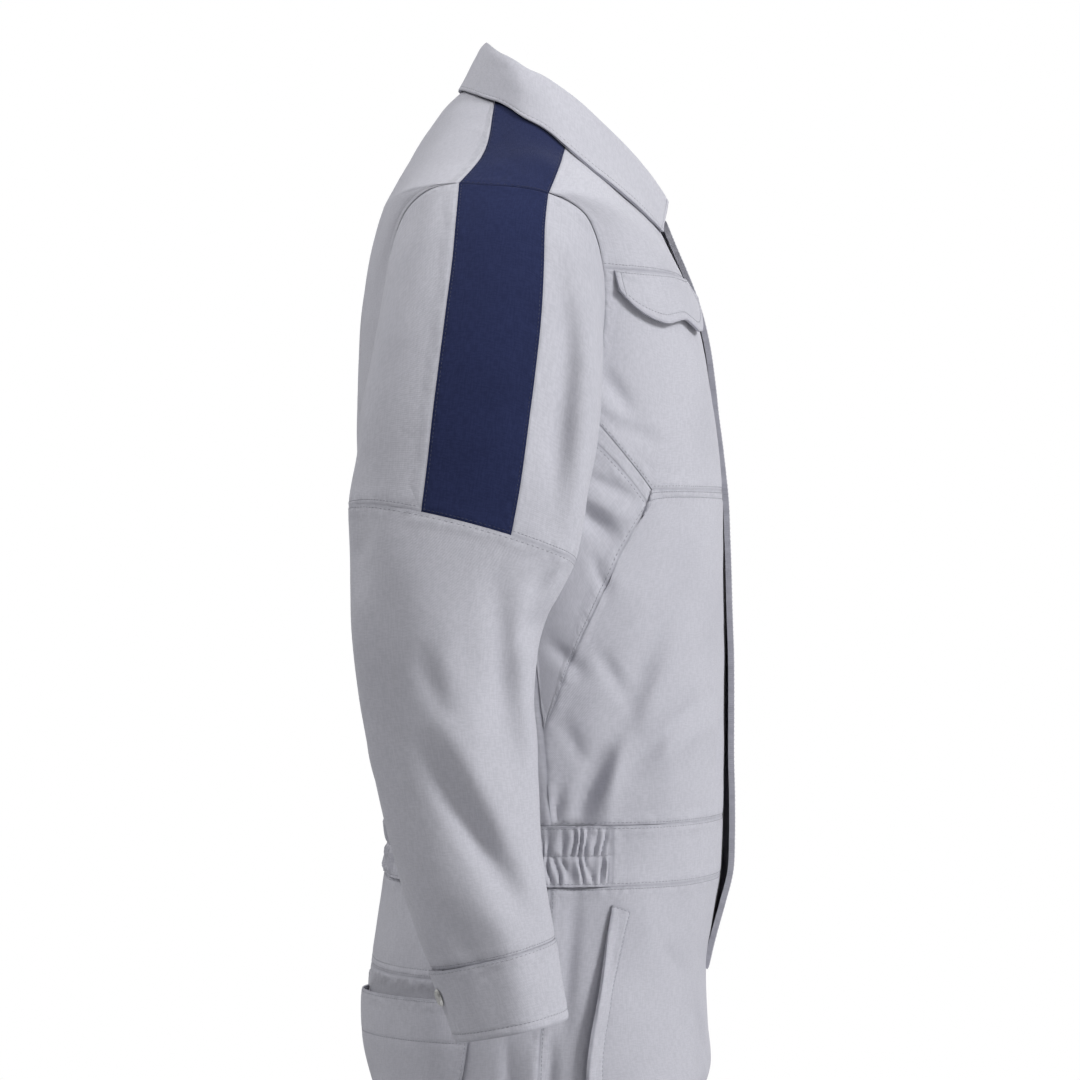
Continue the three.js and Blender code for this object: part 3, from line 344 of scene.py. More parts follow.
# Folds: each runs between two places seen from one direction, in millimetres, bowed sideways at its
# middle, as a soft trough where its depth is below zero and as a ridge where it is above. Across is y
# seen from a side, where the front is at minus y, and x seen from the front or the back.
FOLDS = table(
    "part view across up to_across to_up bow width depth",
    # the upper sleeve: a long hollow behind its front edge, small creases below the shoulder
    ("sleeve", "right", -14, -130, -19, -208, 0, 8, -6.4),
    ("sleeve", "right", -18, -188, -9, -290, 0, 8, -6.8),
    ("sleeve", "right", -34, -147, -23, -277, 0, 7, 2.9),
    ("sleeve", "right", -21, -89, -38, -108, -1, 3, -2.3),
    ("sleeve", "right", -12, -110, -34, -128, 0, 6, 1.4),
    # the elbow: a deep break in front, short creases behind
    ("sleeve", "right", -8, -336, 6, -358, 0, 4.5, -6.1),
    ("sleeve", "right", 130, -332, 113, -309, 1, 4, -2.3),
    ("sleeve", "right", 131, -358, 117, -333, 1, 5, -1.9),
    # the forearm: hollows that run down to its front edge
    ("sleeve", "right", 29, -338, 19, -470, 2, 9, -7.6),
    ("sleeve", "right", 12, -352, 4, -470, 0, 7, 3.4),
    ("sleeve", "right", 81, -456, 13, -569, 1, 8, -7.2),
    ("sleeve", "right", 74, -429, 4, -557, -2, 8, 4.5),
    ("sleeve", "right", 81, -393, 62, -444, 0, 8, -4.2),
    ("sleeve", "right", 56, -359, 61, -420, 0, 13, 2.2),
    ("sleeve", "right", 71, -561, 41, -606, 2, 8, -3.4),
    ("sleeve", "right", 51, -550, 14, -598, 0, 9, 2.1),
    # the cuff: flat at the rear, then bent sharply round to the front
    ("sleeve", "right", 27, -560, 3, -672, 0, 15, 5),
    # the valley behind the armhole and the wrinkles over the shoulder
    ("both", "right", 77, -56, 118, -154, 3, 8, -6.8),
    ("both", "right", 29, -18, 13, -66, 2, 3.5, -2.1),
    ("both", "right", 18, -18, -8, -46, -1, 4, -2.1),
    ("both", "right", 7, -32, -14, -63, 1, 3, 1.3),
    ("both", "right", 38, -52, 0, -69, -2, 4, 1.4),
    # drag lines from the armpit into the chest
    ("body", "right", -43, -197, -66, -228, 1, 6, -4.2),
    ("body", "right", -34, -213, -73, -244, 0, 6, 1.9),
    ("body", "right", -50, -234, -88, -252, -1, 6, -3.4),
    ("body", "right", -30, -272, -70, -292, -1, 5, -3.8),
    ("body", "right", -23, -292, -56, -319, 0, 7, -6.5),
    ("body", "right", -28, -287, -66, -305, 0, 5, 1.9),
    ("body", "right", -38, -329, -48, -359, 0, 5, -3.4),
    # the lower front: cloth drawn together above the elastic
    ("body", "right", -4, -388, -34, -416, 0, 6, -3.8),
    ("body", "right", -41, -396, -62, -432, 0, 6, -4.2),
    ("body", "right", -17, -446, -31, -476, 0, 5, -3),
    ("body", "right", -51, -462, -24, -526, 2, 7, -9.1),
    ("body", "right", -64, -453, -46, -523, 2, 7, 5.1),
    ("body", "right", -14, -492, -11, -526, 0, 4, -4.6),
    ("body", "right", -108, -343, -61, -449, 7, 9, -4.8),
    ("body", "right", -122, -368, -70, -459, 6, 8, 4.2),
    ("body", "right", -131, -423, -70, -472, 3, 7, -5.3),
    ("body", "right", -131, -448, -68, -489, 3, 8, 3.7),
    # the hip below the elastic, and the side of the thigh
    ("legs", "right", -82, -601, -110, -638, 0, 5, -2.8),
    ("legs", "right", -75, -574, -80, -618, 0, 8, 1.6),
    ("legs", "right", -26, -569, -16, -681, 1, 6, -4.6),
    ("legs", "right", 23, -667, 19, -738, 0, 5, -4.2),
    ("legs", "right", 7, -667, 6, -731, 0, 5, 2.9),
    ("legs", "right", -9, -663, -5, -731, 0, 5, -4.6),
    # the side of the leg: knee and hem
    ("legs", "right", -62, -1080, 34, -1112, 6, 10, -5.7),
    ("legs", "right", 50, -1150, -30, -1176, -5, 9, -4.9),
    ("legs", "right", -58, -1218, 12, -1188, 3, 9, -4.2),
    ("legs", "right", -52, -1500, 26, -1474, 3, 8, -5.7),
    ("legs", "right", 56, -1466, 0, -1442, -2, 8, -4.6),
    ("legs", "right", -30, -1486, 40, -1460, 2, 7, 3.2),
    # the front of the body and legs
    ("body", "front", -62, -430, -70, -514, 2, 9, -3.3),
    ("body", "front", 52, -446, 66, -514, -2, 8, -3.6),
    ("body", "front", 84, -300, 58, -420, 6, 12, -3),
    ("legs", "front", -22, -706, -96, -652, 5, 8, -3.9),
    ("legs", "front", 24, -712, 100, -664, -5, 9, -3.6),
    ("legs", "front", -34, -742, -110, -716, 4, 9, -2.7),
    ("legs", "front", 130, -780, 74, -860, -4, 12, -2.7),
    ("legs", "front", -58, -1092, -136, -1122, 4, 9, -4.2),
    ("legs", "front", -146, -1178, -76, -1150, 3, 8, -3.6),
    ("legs", "front", 66, -1128, 148, -1088, 4, 9, -4.5),
    ("legs", "front", 60, -1176, 122, -1198, -3, 8, -3.3),
    ("legs", "front", -58, -1498, -132, -1472, -3, 8, -4.5),
    ("legs", "front", 64, -1482, 140, -1506, 3, 8, -4.2),
    # the back: soft folds into the elastic, the seat, the hollows of the knees and the hems
    ("body", "back", -104, -150, -70, -330, 8, 14, -3.9),
    ("body", "back", 108, -160, 66, -318, -8, 14, -3.6),
    ("body", "back", -20, -416, -32, -514, 2, 8, -4.2),
    ("body", "back", 38, -396, 48, -514, -2, 9, -4.5),
    ("body", "back", -92, -430, -80, -514, 2, 9, -4.2),
    ("body", "back", 104, -440, 92, -514, -2, 8, -3.6),
    ("body", "back", 8, -440, 6, -514, 0, 8, 2.4),
    ("body", "back", -58, -452, -56, -514, 0, 7, 2.4),
    ("body", "back", 150, -398, 112, -470, 3, 10, -3.9),
    ("legs", "back", -40, -776, -118, -752, 5, 9, -3.6),
    ("legs", "back", 42, -788, 122, -758, -5, 9, -3.9),
    ("legs", "back", -50, -822, -112, -846, 3, 9, -3),
    ("legs", "back", -56, -1088, -142, -1074, 5, 9, -4.8),
    ("legs", "back", -140, -1130, -70, -1118, -3, 8, -3.9),
    ("legs", "back", 58, -1066, 140, -1096, 4, 9, -4.5),
    ("legs", "back", 146, -1148, 72, -1132, 4, 8, -3.9),
    ("legs", "back", -64, -1482, -136, -1506, 3, 8, -4.5),
    ("legs", "back", 66, -1500, 138, -1470, 3, 8, -4.5),
)
VIEWS = {"right": (-1, 0, 0), "left": (1, 0, 0), "front": (0, -1, 0), "back": (0, 1, 0)}
FOLD_STEPS = 10


def mirrored(fold, count):
    """A fold's twin on the wearer's left, a little shifted and not as deep."""
    shift_across, shift_up = 7 * math.sin(2.3 * count), 9 * math.sin(1.7 * count + 1)
    twin = {**fold, "view": "left", "depth": fold["depth"] * (0.8 + 0.2 * math.sin(3.1 * count))}
    for key, shift in (("across", shift_across), ("up", shift_up)):
        twin[key] += shift
        twin[f"to_{key}"] += 0.6 * shift
    return twin


ALL_FOLDS = FOLDS + [mirrored(fold, i) for i, fold in enumerate(FOLDS) if fold["view"] == "right"]


def fold_shape(fold, places):
    """A fold's height at places seen from its direction, in millimetres."""
    start = np.array([fold["across"], fold["up"]])
    run = np.array([fold["to_across"], fold["to_up"]]) - start
    square = np.array([-run[1], run[0]]) / np.linalg.norm(run)
    shares = np.linspace(0, 1, FOLD_STEPS + 1)
    path = start + shares[:, None] * run + (fold["bow"] * 4 * shares * (1 - shares))[:, None] * square
    nearest = np.full(len(places), np.inf)
    share = np.zeros(len(places))
    for k in range(FOLD_STEPS):
        step = path[k + 1] - path[k]
        t = np.clip(((places - path[k]) @ step) / (step @ step), 0, 1)
        away = np.linalg.norm(places - path[k] - t[:, None] * step, axis=1)
        closer = away < nearest
        nearest[closer] = away[closer]
        share[closer] = (k + t[closer]) / FOLD_STEPS
    return fold["depth"] * (0.2 + 0.8 * np.sin(np.pi * share)) * np.exp(-((nearest / fold["width"]) ** 2))


def folded(cloth):
    """How far, and which way, the folds move each point of a piece."""
    part = part_of(cloth.name)
    moves = np.zeros_like(cloth.points)
    for fold in ALL_FOLDS:
        if fold["part"] != part and (fold["part"] != "both" or part == "legs"):
            continue
        towards = np.array(VIEWS[fold["view"]])
        seen = np.stack([cloth.points[..., 1 if towards[0] else 0], cloth.points[..., 2]], axis=-1) / MM
        start, end = np.array([fold["across"], fold["up"]]), np.array([fold["to_across"], fold["to_up"]])
        reach = 2.5 * fold["width"] + abs(fold["bow"]) + np.abs(end - start) / 2
        near = (np.abs(seen - (start + end) / 2) < reach).all(axis=-1)
        if near.any():
            facing = eased(cloth.normals[near] @ towards, 0.05, 0.4)
            moves[near] += MM * (facing * fold_shape(fold, seen[near]))[:, None] * towards
    return moves


def drift(points, size, seed):
    """A smooth random height from -1 to 1 whose swells are about size across."""
    shifted = (points / size + seed * 7.31).reshape(-1, 3)
    return np.array([noise.noise(Vector(p)) for p in shifted]).reshape(points.shape[:2])


# Meshes

def made_mesh(name, points, faces):
    mesh = bpy.data.meshes.new(name)
    mesh.from_pydata([], [], [])
    mesh.vertices.add(len(points))
    mesh.vertices.foreach_set("co", np.asarray(points, float).ravel())
    mesh.loops.add(faces.size)
    mesh.loops.foreach_set("vertex_index", faces.ravel())
    mesh.polygons.add(len(faces))
    mesh.polygons.foreach_set("loop_start", np.arange(0, faces.size, faces.shape[1]))
    mesh.update(calc_edges=True)
    mesh.validate()
    piece = bpy.data.objects.new(name, mesh)
    bpy.context.scene.collection.objects.link(piece)
    return piece


def only(piece):
    bpy.ops.object.select_all(action="DESELECT")
    piece.select_set(True)
    bpy.context.view_layer.objects.active = piece


def smoothed(piece, degrees=50):
    only(piece)
    bpy.ops.object.shade_smooth_by_angle(angle=math.radians(degrees))


def shell(cloth, material, wall=WALL, hem=0):
    """A thin closed shell on the grid, with its own map in metres and its distances from the edges. A hem
    is the greater thickness of the cloth folded in along its side edges."""
    rows, columns = cloth.points.shape[:2]
    index = np.arange(rows * columns).reshape(rows, columns)
    faces = np.stack([index[:-1, :-1], index[:-1, 1:], index[1:, 1:], index[1:, :-1]], axis=-1)
    faces = faces.reshape(-1, 4)
    piece = made_mesh(f"{cloth.name}_cloth", cloth.points.reshape(-1, 3), faces)
    mesh = piece.data
    across, up = np.meshgrid(cloth.u, cloth.v)
    map_places = np.stack([across, up], axis=-1).reshape(-1, 2)
    mesh.uv_layers.new(name="cloth_map").data.foreach_set("uv", map_places[faces.ravel()].ravel())
    for label, distance in zip(("edge_across", "edge_up"), cloth.edge_distances()):
        attribute = mesh.attributes.new(label, "FLOAT", "POINT")
        attribute.data.foreach_set("value", distance.ravel())
    only(piece)
    solidify = piece.modifiers.new("wall", "SOLIDIFY")
    solidify.thickness = max(wall, hem)
    solidify.offset = -1
    if hem:
        hem_group = piece.vertex_groups.new(name="folded")
        weights = eased(cloth.edge_distances()[0], HEM_WIDTH, HEM_WIDTH - HEM_SLOPE).ravel()
        for vertex, weight in enumerate(weights.tolist()):
            hem_group.add([vertex], weight, "REPLACE")
        solidify.vertex_group = hem_group.name
        solidify.thickness_vertex_group = wall / hem
    bpy.ops.object.modifier_apply(modifier=solidify.name)
    smoothed(piece)
    mesh.materials.append(material)
    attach(piece, "root")
    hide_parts(cloth.name)
    return piece


def copies(name, template, centres, along, up, size, material, slot):
    """One mesh of many small copies of a template, each with its own length and its own up."""
    shape, faces = template
    beside = unit(np.cross(up, along))
    above = unit(np.cross(along, beside))
    axes = np.stack([unit(along), beside, above], axis=1)
    points = np.einsum("pa,nab->npb", shape * np.array(size), axes) + centres[:, None]
    all_faces = faces[None] + np.arange(len(centres))[:, None, None] * len(shape)
    piece = made_mesh(name, points.reshape(-1, 3), all_faces.reshape(-1, faces.shape[1]))
    smoothed(piece)
    piece.data.materials.append(material)
    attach(piece, "root")
    return piece


def template_of(add, **options):
    """The points and triangles of a primitive one unit in radius."""
    bpy.ops.object.select_all(action="DESELECT")
    add(**options)
    piece = bpy.context.object
    bpy.ops.object.mode_set(mode="EDIT")
    bpy.ops.mesh.select_all(action="SELECT")
    bpy.ops.mesh.quads_convert_to_tris()
    bpy.ops.object.mode_set(mode="OBJECT")
    points = np.array([v.co[:] for v in piece.data.vertices])
    faces = np.array([p.vertices[:] for p in piece.data.polygons])
    bpy.data.objects.remove(piece)
    return points, faces


# Materials

def group(name, inputs, outputs):
    """A shader node group with named sockets, and its input and output nodes."""
    tree = bpy.data.node_groups.new(name, "ShaderNodeTree")
    for label, kind, value in inputs:
        socket = tree.interface.new_socket(label, in_out="INPUT", socket_type=f"NodeSocket{kind}")
        if value is not None:
            socket.default_value = value
    for label, kind in outputs:
        tree.interface.new_socket(label, in_out="OUTPUT", socket_type=f"NodeSocket{kind}")
    return tree, tree.nodes.new("NodeGroupInput"), tree.nodes.new("NodeGroupOutput")


def node(tree, kind, settings=None, **inputs):
    """A node with its settings and inputs. An input is a value or another node's socket."""
    made = tree.nodes.new(f"ShaderNode{kind}")
    for key, value in (settings or {}).items():
        setattr(made, key, value)
    for key, value in inputs.items():
        socket = made.inputs[int(key[1:])] if key[1:].isdigit() else made.inputs[key.replace("_", " ")]
        if isinstance(value, bpy.types.NodeSocket):
            tree.links.new(value, socket)
        else:
            socket.default_value = value
    return made


def maths(tree, operation, a, b=0.0):
    return node(tree, "Math", {"operation": operation}, i0=a, i1=b).outputs[0]


def ranged(tree, value, low, high, to_low=0.0, to_high=1.0):
    settings = {"interpolation_type": "SMOOTHSTEP"}
    return node(tree, "MapRange", settings, i0=value, i1=low, i2=high, i3=to_low, i4=to_high).outputs[0]


TWILL_PITCH = 0.0009
TAPE_PITCH = 0.0006
TWILL_SLANT = 0.62
WARP_SCALE = (900.0, 130.0, 1.0)
WEFT_SCALE = (190.0, 1000.0, 1.0)
PUCKER_WIDTH = 0.011


def twill_group():
    """Twill: fine slanted ribs crossed by the weft, and slubs where a thread runs thick."""
    tree, given, out = group(
        "twill weave",
        [("Map", "Vector", None), ("Pitch", "Float", TWILL_PITCH)],
        [("Height", "Float"), ("Slub", "Float")],
    )
    place = given.outputs["Map"]
    pitch = given.outputs["Pitch"]
    shake = node(tree, "TexNoise", {"noise_dimensions": "2D"}, Vector=place, Scale=240.0, Detail=2.0)
    split = node(tree, "SeparateXYZ", Vector=place)
    slant = maths(tree, "ADD", split.outputs[0], maths(tree, "MULTIPLY", split.outputs[1], TWILL_SLANT))
    wobble = maths(tree, "MULTIPLY", shake.outputs[0], 0.0005)
    turns = maths(tree, "DIVIDE", maths(tree, "ADD", slant, wobble), pitch)
    rib = maths(tree, "SINE", maths(tree, "MULTIPLY", turns, 2 * math.pi))
    picks = maths(tree, "DIVIDE", split.outputs[1], pitch)
    pick = maths(tree, "SINE", maths(tree, "MULTIPLY", picks, 2 * math.pi))
    height = maths(tree, "ADD", maths(tree, "MULTIPLY", rib, 0.35), maths(tree, "MULTIPLY", pick, 0.15))
    tree.links.new(maths(tree, "ADD", height, 0.5), out.inputs["Height"])
    stretched = node(tree, "VectorMath", {"operation": "MULTIPLY"}, i0=place, i1=WARP_SCALE)
    warp = node(tree, "TexNoise", {"noise_dimensions": "2D"}, Vector=stretched.outputs[0], Scale=1.0, Detail=2.0)
    crossed = node(tree, "VectorMath", {"operation": "MULTIPLY"}, i0=place, i1=WEFT_SCALE)
    weft = node(tree, "TexNoise", {"noise_dimensions": "2D"}, Vector=crossed.outputs[0], Scale=1.0, Detail=2.0)
    both = maths(tree, "MULTIPLY", maths(tree, "ADD", warp.outputs[0], weft.outputs[0]), 0.5)
    tree.links.new(both, out.inputs["Slub"])
    return tree


def seam_group():
    """What sewing does to cloth near its edges: small irregular puckers, and painted shade over the last 1.6 mm
    of each edge, where the seams lie.
    """
    tree, given, out = group(
        "seam relief",
        [("Map", "Vector", None), ("Across", "Float", 1.0), ("Up", "Float", 1.0)],
        [("Pucker", "Float"), ("Edge", "Float")],
    )
    place = given.outputs["Map"]
    fine = node(tree, "TexNoise", {"noise_dimensions": "2D"}, Vector=place, Scale=85.0, Detail=1.5)
    near_side = ranged(tree, given.outputs["Across"], 0.0, PUCKER_WIDTH, 1.0, 0.0)
    near_top = ranged(tree, given.outputs["Up"], 0.0, PUCKER_WIDTH, 1.0, 0.0)
    near = maths(tree, "MAXIMUM", near_side, near_top)
    tree.links.new(maths(tree, "MULTIPLY", fine.outputs[0], near), out.inputs["Pucker"])
    closest = maths(tree, "MINIMUM", given.outputs["Across"], given.outputs["Up"])
    # Painted shade: 1 at the very edge of a piece, fading to 0 at 1.6 mm in, standing in for the shade in the
    # seams' grooves.
    tree.links.new(ranged(tree, closest, 0.0002, 0.0016, 1.0, 0.0), out.inputs["Edge"])
    return tree


def mottle_group():
    """Slow unevenness of dye and handling, and soft small creases."""
    tree, given, out = group(
        "cloth mottle", [("Place", "Vector", None)], [("Shade", "Float"), ("Crease", "Float")]
    )
    slow = node(tree, "TexNoise", Vector=given.outputs["Place"], Scale=9.0, Detail=4.0, Roughness=0.6)
    tree.links.new(slow.outputs[0], out.inputs["Shade"])
    crease = node(tree, "TexNoise", Vector=given.outputs["Place"], Scale=26.0, Detail=3.0, Distortion=0.6)
    tree.links.new(crease.outputs[0], out.inputs["Crease"])
    return tree


TWILL, SEAMS, MOTTLE = twill_group(), seam_group(), mottle_group()


def placed_group(tree, made, **inputs):
    held = tree.nodes.new("ShaderNodeGroup")
    held.node_tree = made
    for key, value in inputs.items():
        if isinstance(value, bpy.types.NodeSocket):
            tree.links.new(value, held.inputs[key])
        else:
            held.inputs[key].default_value = value
    return held.outputs


def new_material(name):
    material = bpy.data.materials.new(name)
    material.use_nodes = True
    shader = material.node_tree.nodes["Principled BSDF"]
    return material, material.node_tree, shader


def mixed(tree, share, a, b):
    made = node(tree, "Mix", {"data_type": "RGBA"}, i0=share, i6=a, i7=b)
    return made.outputs[2]


def cloth_material(name, thread, darker_tone_and_shade, sheen, pitch=TWILL_PITCH):
    material, tree, shader = new_material(name)
    cloth_map = node(tree, "UVMap", {"uv_map": "cloth_map"}).outputs[0]
    place = node(tree, "TexCoord").outputs["Object"]
    across = node(tree, "Attribute", {"attribute_name": "edge_across"}).outputs["Fac"]
    up = node(tree, "Attribute", {"attribute_name": "edge_up"}).outputs["Fac"]
    weave = placed_group(tree, TWILL, Map=cloth_map, Pitch=pitch)
    seam = placed_group(tree, SEAMS, Map=cloth_map, Across=across, Up=up)
    mottle = placed_group(tree, MOTTLE, Place=place)
    # The darker colour marks slubs, dye mottle and the twill's hollows, and also gives the painted shade along
    # the seams.
    body = thread
    for darker, share in (
        (ranged(tree, weave["Slub"], 0.38, 0.62), 0.3),
        (ranged(tree, mottle["Shade"], 0.35, 0.7), 0.22),
        (maths(tree, "SUBTRACT", 1.0, weave["Height"]), 0.25),
        # painted shade beside every edge of the piece
        (seam["Edge"], 0.55),
    ):
        body = mixed(tree, maths(tree, "MULTIPLY", darker, share), body, darker_tone_and_shade)
    tree.links.new(body, shader.inputs["Base Color"])
    rough = ranged(tree, weave["Slub"], 0.2, 0.8, 0.78, 0.92)
    tree.links.new(rough, shader.inputs["Roughness"])
    shader.inputs["Sheen Weight"].default_value = sheen
    shader.inputs["Sheen Roughness"].default_value = 0.45
    shader.inputs["Specular IOR Level"].default_value = 0.15
    fine = node(tree, "Bump", Strength=0.5, Distance=0.0002, Height=weave["Height"])
    below = fine.outputs[0]
    pucker = node(tree, "Bump", Strength=0.9, Distance=0.0022, Height=seam["Pucker"], Normal=below)
    below = pucker.outputs[0]
    crease = node(tree, "Bump", Strength=0.6, Distance=0.0016, Height=mottle["Crease"], Normal=below)
    tree.links.new(crease.outputs[0], shader.inputs["Normal"])
    return material


def thread_material(name, colour):
    material, tree, shader = new_material(name)
    place = node(tree, "TexCoord").outputs["Object"]
    strands = node(tree, "TexNoise", Vector=place, Scale=2500.0, Detail=1.0)
    dark = tuple(c * 0.7 for c in colour[:3]) + (1,)
    shade = mixed(tree, ranged(tree, strands.outputs[0], 0.3, 0.7), colour, dark)
    tree.links.new(shade, shader.inputs["Base Color"])
    shader.inputs["Roughness"].default_value = 0.6
    bump = node(tree, "Bump", Strength=0.4, Distance=0.0001, Height=strands.outputs[0])
    tree.links.new(bump.outputs[0], shader.inputs["Normal"])
    return material


def metal_material(name, colour, roughness):
    material, tree, shader = new_material(name)
    place = node(tree, "TexCoord").outputs["Object"]
    rub = node(tree, "TexNoise", Vector=place, Scale=900.0, Detail=3.0)
    dull = tuple(c * 0.75 for c in colour[:3]) + (1,)
    shade = mixed(tree, ranged(tree, rub.outputs[0], 0.4, 0.7), colour, dull)
    tree.links.new(shade, shader.inputs["Base Color"])
    rough = ranged(tree, rub.outputs[0], 0.3, 0.7, roughness, roughness + 0.15)
    tree.links.new(rough, shader.inputs["Roughness"])
    shader.inputs["Metallic"].default_value = 0.9
    return material


def linear(red, green, blue):
    """A colour as seen, 0 to 255, in the renderer's own units."""
    def one(c):
        c /= 255
        return c / 12.92 if c <= 0.04045 else ((c + 0.055) / 1.055) ** 2.4
    return one(red), one(green), one(blue), 1.0


GREY = cloth_material("grey twill", linear(190, 190, 198), linear(156, 156, 165), 0.08)
NAVY = cloth_material("navy twill", linear(36, 44, 80), linear(22, 27, 54), 0.02)
TAPE = cloth_material("zip tape weave", linear(150, 151, 160), linear(110, 111, 120), 0.05, TAPE_PITCH)
GREY_THREAD = thread_material("grey thread", linear(158, 159, 168))
NAVY_THREAD = thread_material("navy thread", linear(36, 42, 74))
METAL = metal_material("brushed nickel", linear(196, 196, 194), 0.32)

# Pieces

STITCH = template_of(bpy.ops.mesh.primitive_uv_sphere_add, segments=6, ring_count=4, radius=1)


def edge_line(cloth, edge, inset, step):
    """Places in a line beside one edge of a piece, as distances across and up it."""
    margin = min(inset, 3 * MM)
    if edge in ("top", "bottom"):
        u = np.arange(margin, cloth.width - margin, step)
        return u, np.full(len(u), inset if edge == "bottom" else cloth.height - inset)
    v = np.arange(margin, cloth.height - margin, step)
    return np.full(len(v), inset if edge == "left" else cloth.width - inset), v


def sew(cloth, lines, thread, slot):
    """Rows of stitches beside the edges of a piece."""
    centres, along, up = [], [], []
    for edge, inset in lines:
        for one in cloth.sides.get(edge, [edge]):
            u, v = edge_line(cloth, one, inset * MM, STITCH_PITCH)
            if len(u) < 2:
                continue
            line = cloth.at(u, v, cloth.points)
            normals = unit(cloth.at(u, v, cloth.normals))
            centres.append(line + normals * STITCH_LIFT)
            along.append(np.gradient(line, axis=0))
            up.append(normals)
    if not centres:
        return None
    return copies(
        f"{cloth.name}_stitches", STITCH, *map(np.concatenate, (centres, along, up)),
        STITCH_SIZE, thread, slot,
    )


# How each kind of piece is finished: the spacing of its points, its rows of stitches as edge and
# distance in millimetres, how it is held, and what it lies on.
KINDS = {
    "front_yoke": dict(lines=[("bottom", 2)]),
    "chest": dict(lines=[("bottom", 1.8)]),
    "chest_welt": dict(spacing=3, lines=[("top", 1.5), ("bottom", 1.5)]),
    "side_front": dict(spacing=2.6, lines=[("front", 1.8), ("top", 1.8)]),
    "lower_front": dict(spacing=2.6, lines=[("top", 1.8), ("top", 6), ("bottom", 1.8)]),
    "shoulder_panel": dict(lines=[("front", 1.8), ("rear", 1.8), ("bottom", 1.8)], navy=True),
    "sleeve_stripe": dict(lines=[("front", 1.8), ("rear", 1.8), ("bottom", 1.8)], navy=True),
    "upper_sleeve_front": dict(lines=[("bottom", 2)]),
    "upper_sleeve_back": dict(lines=[("bottom", 2)]),
    "lower_sleeve": dict(spacing=4.5, lines=[("top", 2), ("bottom", 2)]),
    "cuff": dict(spacing=3, wall=2, lines=[("top", 1.8), ("bottom", 6), ("ends", 2)]),
    "chest_flap": dict(
        spacing=3, wall=2, lines=[("bottom", 5.5), ("ends", 5.5), ("top", 2)], held="laid", on="chest",
    ),
    "leg_front": dict(spacing=3.4, lines=[("top", 1.8), ("rear", 1.8), ("bottom", 22)]),
    "seat_yoke": dict(lines=[("top", 1.8), ("bottom", 1.8), ("bottom", 6)]),
    "leg_back": dict(spacing=3.6, lines=[("bottom", 22)]),
    "hip_welt": dict(
        spacing=3, wall=2, lines=[("front", 1), ("top", 1), ("bottom", 1)], held="laid", on="leg_front",
    ),
    "back_pocket": dict(
        lines=[("ends", 1.8), ("bottom", 1.8), ("top", 30), ("top", 1.8)], held="laid", on="leg_back",
    ),
    "waistband_front": dict(lines=[("top", 1.8), ("bottom", 1.8)]),
    "back": dict(lines=[("bottom", 1.8)]),
    "waistband_elastic": dict(
        spacing=1.25, spacing_up=1.8, corners=False,
        lines=[("top", 1.8), ("bottom", 1.8), ("top", 21)], held="gathered",
    ),
    "collar": dict(spacing=3, spacing_up=2.2, wall=1.8, lines=[("bottom", 6), ("ends", 6)], held="folded"),
    "front_placket": dict(spacing=3.5, wall=2.2, hem=4.2, lines=[("ends", 2)], held="laid", on="zip_tape"),
}


def kind_of(name):
    base = name.removesuffix("_right").removesuffix("_left")
    return KINDS[base], name[len(base):]


def pleats(cloth):
    """Small uneven pleats that the elastic draws into the cloth above and below it."""
    x, y, z = np.moveaxis(cloth.points, -1, 0)
    away = np.maximum(z - WAIST_TOP, WAIST_BOTTOM - z)
    round_the_waist = np.arctan2(x, -y)
    above = np.where(z > WAIST_TOP, 1.0, 0.0)
    turn = round_the_waist + 0.5 * above + 0.5 * away
    height = np.sin(46 * turn + 1.6 * np.sin(7 * turn)) * (0.6 + 0.5 * np.sin(11 * turn + 1))
    fade = np.exp(-np.clip(away, 0, None) / (14 * MM)) * eased(away, -2 * MM, 3 * MM)
    return 1.9 * MM * height * fade * eased(y, -56 * MM, -42 * MM)


def relief(cloth):
    """The height that pleats, slow waves and sewn edges give each point of a piece."""
    across, up = cloth.edge_distances()
    edge = np.minimum(across, up)
    free = 0.35 + 0.65 * eased(edge, 0, 12 * MM)
    waves = 1.3 * MM * drift(cloth.points, 0.075, 1) + 0.6 * MM * drift(cloth.points, 0.028, 2) * free
    rolled = 0.6 * MM * (1 - eased(edge, 0, 1.6 * MM))
    pulled = 0.4 * MM * cloth.grooves()
    gathered = pleats(cloth) if part_of(cloth.name) != "sleeve" and cloth.name != "collar" else 0
    return gathered + waves - rolled - pulled


def puffs(cloth):
    """Puffs of the elastic: narrow, slanted, uneven and pinched along its three rows of stitches."""
    middle = (WAIST_TOP + WAIST_BOTTOM) / 2
    z = cloth.points[..., 2]
    row = np.where(z > middle, 0.0, 7.7)
    across = cloth.u[None] + 0 * z
    warp = drift(np.stack([across / 0.015, row, z / 0.03], axis=-1), 1, 5)
    swell = drift(np.stack([across / 0.01, row, z / 0.02], axis=-1), 1, 6)
    creases = np.abs(np.sin(np.pi * (across / PUFF + 1.5 * warp)))
    to_edge = np.minimum(WAIST_TOP - z, z - WAIST_BOTTOM)
    pinch = 1 - 0.65 * np.exp(-(((z - middle) / (2.5 * MM)) ** 2))
    free = eased(to_edge, 0, 5 * MM) * pinch * eased(cloth.edge_distances()[0], 0, 5 * MM)
    return MM * free * (3.6 * creases * (0.85 + 0.8 * swell) - 1.5) - 0.5 * MM * cloth.grooves()


def raised_edge(cloth):
    """How far the rear edge of the hip pocket's welt stands off the leg, more towards its middle."""
    from_rear = cloth.u if cloth.sides["rear"] == ["left"] else cloth.width - cloth.u
    downward = 1 - cloth.v / cloth.height
    along = (0.4 + 0.6 * eased(downward, 0, 0.5)) * eased(downward, 0, 0.03) * eased(downward, 1, 0.9)
    return WELT_LIFT * eased(from_rear, 10 * MM, 0)[None] * along[:, None]


